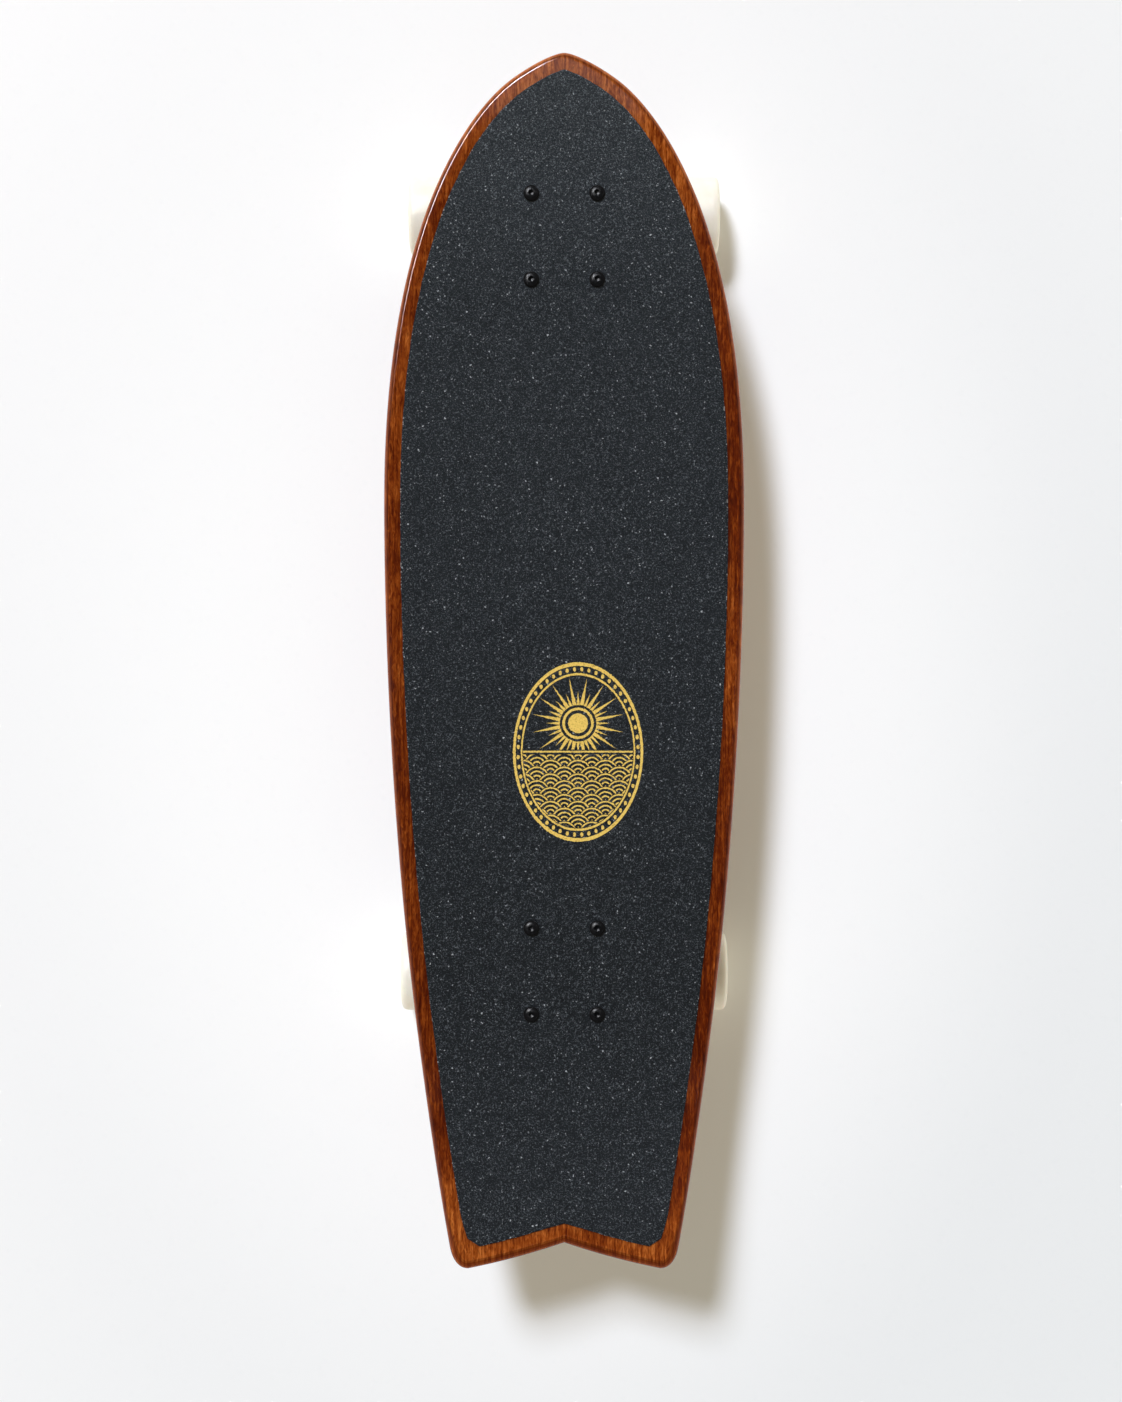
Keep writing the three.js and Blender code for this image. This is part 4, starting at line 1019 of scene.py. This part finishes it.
def make_bushings(prefix, place, bodies):
    """A barrel over the hanger's ring and a cone under it."""
    bore = KINGPIN_BORE + 0.9 * MM
    node = f"{prefix}_bushing_upper"
    low, high, outer = place.span(node)
    waist, shoulder = outer - 1.5 * MM, (high - low) * 0.3
    barrel = [(bore, low), (waist, low), (outer, low + shoulder)]
    barrel += [(outer, high - shoulder), (waist, high), (bore, high)]
    make_bushing_piece(node, place, softened(barrel, 2.2 * MM, 6), bodies, high, low)
    node = f"{prefix}_bushing_lower"
    low, high, outer = place.span(node)
    cone = [
        (bore, low),
        *rows_at(outer, low, [(-2.7, 0), (-2.2, 1.6)]),
        *rows_at(outer, high, [(-0.2, -1.4), (-0.7, 0)]),
        (bore, high),
    ]
    make_bushing_piece(node, place, softened(cone, 1.0 * MM, 5), bodies, low, high)


def make_pivot_cup(prefix):
    lean = JOINTS[f"{prefix}_lean"]
    axis = Vector(lean["axis"])
    place = Place(lean["pos_m"], axis if axis.z > 0 else -axis)
    node = f"{prefix}_pivot_cup"
    low, high, outer = place.span(node)
    wall, floor = 2.5 * MM, 1.6 * MM
    cup = [
        (0, high - floor),
        *rows_at(outer - wall, high - floor, [(-1, 0), (0, -1.4)]),
        *rows_at(outer - wall, low, [(0, 0.4), (0.5, 0)]),
        (outer, low),
        *rows_at(outer, high, [(0, -0.8), (-0.8, 0)]),
        (0, high),
    ]
    turned_piece(node, cup, place, 72)


def make_stack(prefix, seat_body):
    """One truck's kingpin with all that sits on it, and its pivot cup. The kingpin's line runs through
    the middles of the upper bushing and the washer."""
    low, high = middle_of(f"{prefix}_washer"), middle_of(f"{prefix}_bushing_upper")
    place = Place(high, high - low)
    make_kingpin(prefix, place)
    make_washer(prefix, place)
    make_bushings(prefix, place, (seat_body, f"{prefix}_hanger"))
    make_pivot_cup(prefix)


make_stack("front", "swing_arm")
make_stack("rear", "board")


# Swing pin, its washer, sleeve and spring

PIN = Place(JOINTS["arm_swing"]["pos_m"], JOINTS["arm_swing"]["axis"])
PIN_RADIUS = 6 * MM
PIN_BORE = 6.3 * MM
SPRING_RADIUS = 10 * MM
SPRING_WIRE = 2.8 * MM
SPRING_BEND = 2 * MM
SPRING_TURNS = 3.5
SPRING_PITCH = 4.2 * MM
SPRING_STEPS = 36


def make_swing_pin():
    low, high, head = PIN.span("swing_pin")
    head_bottom = high - 4 * MM
    head_rows = [(PIN_RADIUS, head_bottom), (head, head_bottom), (head, high), (0, high)]
    profile = [
        *threaded_end("swing_pin", low, PIN_RADIUS),
        (PIN_RADIUS, head_bottom),
        *softened(head_rows, 0.6 * MM)[1:],
    ]
    turned_piece("swing_pin", profile, PIN, 72)


def make_ring(node, place, inner):
    """A plain ring with softened edges, as long and as wide as its solid."""
    low, high, outer = place.span(node)
    square = [(inner, low), (outer, low), (outer, high), (inner, high)]
    turned_piece(node, softened_ring(square, 0.25 * MM), place, 96)


def spring_path(low, high):
    """The middle line of the return spring: square to what it meets at each end, a coil between."""
    entry = [Vector((SPRING_RADIUS, 0, high))]
    top = high - SPRING_WIRE
    for angle in rows_between(0, math.pi / 2, 6):
        across, down = SPRING_BEND * (1 - math.cos(angle)), SPRING_BEND * math.sin(angle)
        entry.append(Vector((SPRING_RADIUS, across, top - down)))
    start = SPRING_BEND / SPRING_RADIUS
    path = list(entry)
    for share in rows_between(0, 1, round(SPRING_STEPS * SPRING_TURNS))[1:-1]:
        angle = start + (TURN * SPRING_TURNS - 2 * start) * share
        across, along = SPRING_RADIUS * math.cos(angle), SPRING_RADIUS * math.sin(angle)
        fall = SPRING_TURNS * SPRING_PITCH * share
        path.append(Vector((across, along, entry[-1].z - fall)))
    for point in reversed(entry):
        flipped = Vector((point.x, -point.y, low + high - point.z))
        path.append(Matrix.Rotation(TURN * SPRING_TURNS, 3, "Z") @ flipped)
    return path


def tube_rings(path, radius, sides=14):
    """Rings of corners for a round wire along a path."""
    rings = []
    normal = Vector((1, 0, 0))
    for k, point in enumerate(path):
        ahead = (path[min(k + 1, len(path) - 1)] - path[max(k - 1, 0)]).normalized()
        normal = (normal - ahead * normal.dot(ahead)).normalized()
        side = ahead.cross(normal)
        ring = []
        for angle in [TURN * n / sides for n in range(sides)]:
            ring.append(point + normal * radius * math.cos(angle) + side * radius * math.sin(angle))
        rings.append(ring)
    return rings


def make_spring():
    low, high, _ = PIN.span("swing_spring")
    corners, faces = loft(tube_rings(spring_path(low, high), SPRING_WIRE / 2))
    matrix = PIN.matrix()
    spring = shape_of("swing_spring", [matrix @ corner for corner in corners], faces)
    ends = PIN.at(low + 3 * MM), PIN.at(high - 3 * MM)
    bend_between(spring, "swing_spring", ("board", "swing_arm"), *ends)


make_swing_pin()
make_ring("swing_thrust_washer", PIN, PIN_BORE)
make_ring("swing_sleeve", PIN, PIN_BORE)
make_lock_nut("swing_spring_retainer", PIN, PIN_RADIUS + 0.1 * MM, 1)
make_spring()


# Castings: the solid's own shape with the soft edges that a casting has


def make_casting(node):
    mesh = NODES[node].data.copy()
    mesh.materials.clear()
    through_bmesh(mesh, lambda body: bmesh.ops.remove_doubles(body, verts=body.verts, dist=1e-6))
    rough = linked(f"{node}_rough", mesh)
    remesh = rough.modifiers.new("voxels", "REMESH")
    remesh.mode = "VOXEL"
    remesh.voxel_size = 0.75 * MM
    smooth = rough.modifiers.new("edges", "SMOOTH")
    smooth.factor = 0.5
    smooth.iterations = 7
    evaluated = rough.evaluated_get(bpy.context.evaluated_depsgraph_get())
    made = bpy.data.meshes.new_from_object(evaluated)
    bpy.data.objects.remove(rough)
    made.name = f"{node}_shape"
    made.shade_smooth()
    made.materials.clear()
    made.materials.append(LOOKS[SLOT_OF[node]])
    stand_in(linked(f"{node}_shape", made), node)


for casting in ("front_baseplate", "rear_baseplate", "swing_arm", "front_hanger", "rear_hanger"):
    make_casting(casting)


# Risers: moulded pads with rounded corners

RISER_CORNER = 9 * MM
RISER_EDGE = 0.5 * MM


def rounded_loop(half_x, low_y, high_y, radius, steps=8):
    """The corners of a rounded rectangle, counter-clockwise."""
    loop = []
    low, high = low_y + radius, high_y - radius
    for side, y, start in ((1, low, -90), (1, high, 0), (-1, high, 90), (-1, low, 180)):
        for angle in rows_between(start * DEGREE, (start + 90) * DEGREE, steps):
            x = side * (half_x - radius) + radius * math.cos(angle)
            loop.append((x, y + radius * math.sin(angle)))
    return loop


def make_riser(node):
    """A pad as large as its solid. Its holes are hidden by the bolts' heads and the plate."""
    low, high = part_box(node)
    edge = [(1, 0), (0.3, 0.3), (0, 1)]
    layers = [(share, low.z + rise * RISER_EDGE) for share, rise in edge]
    layers += [(share, high.z - rise * RISER_EDGE) for share, rise in reversed(edge)]
    rings = []
    for share, z in layers:
        inset = share * RISER_EDGE
        loop = rounded_loop(high.x - inset, low.y + inset, high.y - inset, RISER_CORNER - inset)
        rings.append([(x, y, z) for x, y in loop])
    stand_in(shape_of(node, *loft(rings), 40 * DEGREE), node)


make_riser("front_riser")
make_riser("rear_riser")


# Wheels, bearings, axles

WHEEL_SEAT = 11.25 * MM
WHEEL_CORE = 7.6 * MM
BEARING_BORE = 4.1 * MM
AXLE_RADIUS = 3.97 * MM

# The wheel's rounded edge in mm, from its radius and its side
WHEEL_EDGE = [(-7.5, -0.5), (-4.9, 0), (-2.2, -0.5), (-0.6, -1.8), (0, -3.9), (0, -6.5)]


def wheel_side(start, end, half, radius):
    """One side of a wheel, from its middle out, with its bearing between start and end."""
    depth = half - end
    points = [
        (WHEEL_CORE, 0),
        (WHEEL_CORE, start),
        (WHEEL_SEAT, start),
        (WHEEL_SEAT, end + 0.1 * depth),
        (WHEEL_SEAT + 0.5 * MM, end + 0.2 * depth),
        (WHEEL_SEAT + 2.2 * MM, end + 0.25 * depth),
        (WHEEL_SEAT + 3.6 * MM, end + 0.55 * depth),
        *rows_at(radius, half, WHEEL_EDGE),
    ]
    return softened(points, 0.9 * MM, 4)


def make_bearing(node, place):
    """Two races with a dark shield between them, which faces along the place."""
    low, high, outer = place.span(node)
    race = [
        (BEARING_BORE, low),
        (outer, low),
        *rows_at(outer, high, [(0, 0), (-1.5, 0), (-1.6, -0.5)]),
        *rows_at(BEARING_BORE, high, [(1.9, -0.5), (1.8, 0), (0, 0)]),
    ]
    turned_piece(node, softened_ring(race, 0.25 * MM), place, 72)
    shield = [
        *rows_at(BEARING_BORE, high, [(2.0, -0.48)]),
        *rows_at(outer, high, [(-1.75, -0.48), (-1.75, -0.2), (-3.2, -0.12)]),
        *rows_at(BEARING_BORE, high, [(2.0, -0.2)]),
    ]
    cover = mesh_object(f"{node}_shield", *lathe(shield, place, 72), LOOKS["bearing_shield"])
    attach(cover, BODY_OF[node])
    return low, high


def make_wheel(prefix, side):
    """A wheel with its two bearings, a between it and the nut and b behind it."""
    node = f"{prefix}_{side}_wheel"
    low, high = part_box(node)
    middle = Vector(JOINTS[f"{node}_spin"]["pos_m"])
    outward = Vector((math.copysign(1, middle.x), 0, 0))
    sides = []
    for letter, facing in (("a", outward), ("b", -outward)):
        start, end = make_bearing(f"{prefix}_{side}_bearing_{letter}", Place(middle, facing))
        sides.append(wheel_side(start, end, (high.x - low.x) / 2, middle.z))
    profile = sides[0] + [(r, -z) for r, z in reversed(sides[1])]
    turned_piece(node, profile, Place(middle, outward), 160, 50 * DEGREE)


def make_axle(prefix):
    """An axle that is threaded at both ends, with its nuts, wheels and bearings."""
    node = f"{prefix}_axle"
    low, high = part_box(node)
    middle = (low + high) / 2
    origin = (0, middle.y, middle.z)
    end = high.x
    half = [
        (AXLE_RADIUS, 0),
        (AXLE_RADIUS, end - 8.5 * MM),
        *thread_rows(AXLE_RADIUS, end - 8 * MM, end - 0.5 * MM, 1.06 * MM, 0.5 * MM),
        (AXLE_RADIUS - 0.9 * MM, end),
        (0, end),
    ]
    full = [(r, -z) for r, z in reversed(half)] + half[1:]
    turned_piece(node, full, Place(origin, (1, 0, 0)), 64)
    for side in ("left", "right"):
        nut = f"{prefix}_{side}_axle_nut"
        outward = math.copysign(1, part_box(nut)[0].x)
        make_lock_nut(nut, Place(origin, (outward, 0, 0)), AXLE_RADIUS * 1.03, -1)
        make_wheel(prefix, side)


make_deck()
make_grip_tape()
make_axle("front")
make_axle("rear")


# Floor, light and camera

FLOOR_REACH = 80.0
# The paper's colour at its pale corner, at the dark end of its painted falloff, and in the painted glow round the
# board
FLOOR_PALE = (0.935, 0.932, 0.938)
FLOOR_PAINTED_DIM = (0.775, 0.792, 0.802)
FLOOR_PAINTED_GLOW = (1.0, 1.0, 0.992)


def make_floor():
    """Paper with painted light: a painted falloff from its pale colour to a darker corner, and a painted pool of
    light round the board, which also lightens its shade. From below it lets the camera see the object."""
    mesh = bpy.data.meshes.new("floor")
    corners = [(FLOOR_REACH * x, FLOOR_REACH * y, 0) for x, y in ((-1, -1), (1, -1), (1, 1), (-1, 1))]
    mesh.from_pydata(corners, [], [(0, 1, 2, 3)])
    paper = Finish("floor_paper", Roughness=0.9, Specular_IOR_Level=0.1)
    x, y, _ = paper.axes()
    fibres = paper.noise(3 * MM, detail=3)
    # Painted falloff: the paper is painted darker toward one corner, with faint fibres.
    painted_falloff_and_fibres = x * 0.62 - y * 0.5 + 0.5 + (fibres - 0.5) * 0.03
    # Painted light: a painted glow round the board.
    near = hypotenuse((x + 0.02) / 0.40, y / 0.62).step(1.0, 0.35)
    away = paper.ramp(painted_falloff_and_fibres, (0.06, FLOOR_PALE), (0.94, FLOOR_PAINTED_DIM))
    paper.drive("Base Color", paper.mix(near, away, FLOOR_PAINTED_GLOW))
    back = paper.add("ShaderNodeNewGeometry", "Backfacing")
    seen = paper.add("ShaderNodeLightPath", "Is Camera Ray")
    solid, clear = Signal(paper, paper.shader.outputs[0]), paper.add("ShaderNodeBsdfTransparent")
    surface = paper.add("ShaderNodeMixShader", 0, {0: back * seen, 1: solid, 2: clear})
    paper.feed(paper.tree.nodes["Material Output"].inputs["Surface"], surface)
    mesh.materials.append(paper.material)
    linked("floor", mesh)


# Where the key lamp stands, seen from the board
KEY_TOWARD = (-0.307, 0.52, 1)

# What glossy surfaces reflect, from the horizon up: (height, level)
SURROUND = ((0.0, 0.92), (0.12, 0.82), (0.35, 0.5), (0.62, 0.24), (0.8, 0.1), (1.0, 0.055))

# The soft boxes that they reflect: middle and half sizes on a ceiling that is one unit up, the softness
# of the edge as a share of them, and the level
SOFTBOXES = [
    ((-0.37, 0.45), (0.15, 0.21), 0.25, 80.0),
    ((0.0, 0.0), (0.019, 0.074), 0.12, 3.4),
]

# The fill light: its colour, its level overhead, and what the horizon has more
FILL_COLOUR = (1.10, 1.0, 0.785)
FILL_HIGH = 0.17
FILL_LOW = 1.62

BACKDROP = (0.95, 0.955, 0.955)

# The key lamp's core and its wider rim: direction, angle and power
KEY_LAMPS = {
    "key_core": ((-0.300, 0.465, 1), 0.125, 0.976),
    "key_wide": ((-0.314, 0.580, 1), 0.20, 1.672),
}
KEY_COLOUR = (0.815, 0.871, 1.0)


def reflected(sky, toward, height):
    """What glossy surfaces reflect: paler low down and on the key lamp's side, with the soft boxes."""
    stops = [(position, (level, level, level)) for position, level in SURROUND]
    facing = sky.vector("DOT_PRODUCT", toward, Vector(KEY_TOWARD).normalized(), result="Value")
    around = sky.scaled(sky.ramp(height, *stops), facing * 0.55 + 0.65)
    ceiling = sky.vector("DIVIDE", toward, height.math("MAXIMUM", 0.1))
    for (middle_x, middle_y), (half_x, half_y), edge, level in SOFTBOXES:
        scale = (1 / half_x, 1 / half_y, 0)
        start = (-middle_x / half_x, -middle_y / half_y, 0)
        away = sky.vector("MULTIPLY_ADD", ceiling, scale, start)
        glow = sky.vector("LENGTH", away, result="Value").step(1 + edge, 1 - edge) * level
        around = sky.vector("ADD", around, glow)
    return around


def make_world():
    """A soft warm fill that is stronger near the horizon, and what glossy surfaces reflect."""
    world = bpy.data.worlds.new("studio")
    bpy.context.scene.world = world
    world.use_nodes = True
    sky = Nodes(world.node_tree)
    toward = sky.add("ShaderNodeTexCoord", "Generated")
    height = sky.parts(toward)[2]
    low = height.size() * -1 + 1
    fill = sky.scaled(FILL_COLOUR, low * low * FILL_LOW + FILL_HIGH)
    path = sky.node("ShaderNodeLightPath")
    kinds = ("Is Glossy Ray", "Is Transmission Ray", "Is Camera Ray")
    glossy, clear, camera = [Signal(sky, path.outputs[kind]) for kind in kinds]
    lit = sky.mix(glossy | clear, fill, reflected(sky, toward, height))
    sky.feed(sky.tree.nodes["Background"].inputs["Color"], sky.mix(camera, lit, BACKDROP))


def make_lamp(name, toward, angle, power):
    """A soft cool lamp, far away in a direction."""
    lamp = bpy.data.lights.new(name, "SUN")
    lamp.angle = angle
    lamp.energy = power
    lamp.color = KEY_COLOUR
    obj = linked(name, lamp)
    obj.rotation_mode = "QUATERNION"
    obj.rotation_quaternion = Vector(toward).to_track_quat("Z", "Y")


def make_camera():
    """Straight above the deck, as the photograph was taken."""
    data = bpy.data.cameras.new("camera")
    data.sensor_width = 36
    data.lens = 61.0
    camera = linked("camera", data)
    camera.location = (-2.0 * MM, -27.25 * MM, 1599.4 * MM)
    bpy.context.scene.camera = camera


make_floor()
make_world()
for name, row in KEY_LAMPS.items():
    make_lamp(name, *row)
make_camera()
bpy.context.scene.view_settings.view_transform = "Standard"
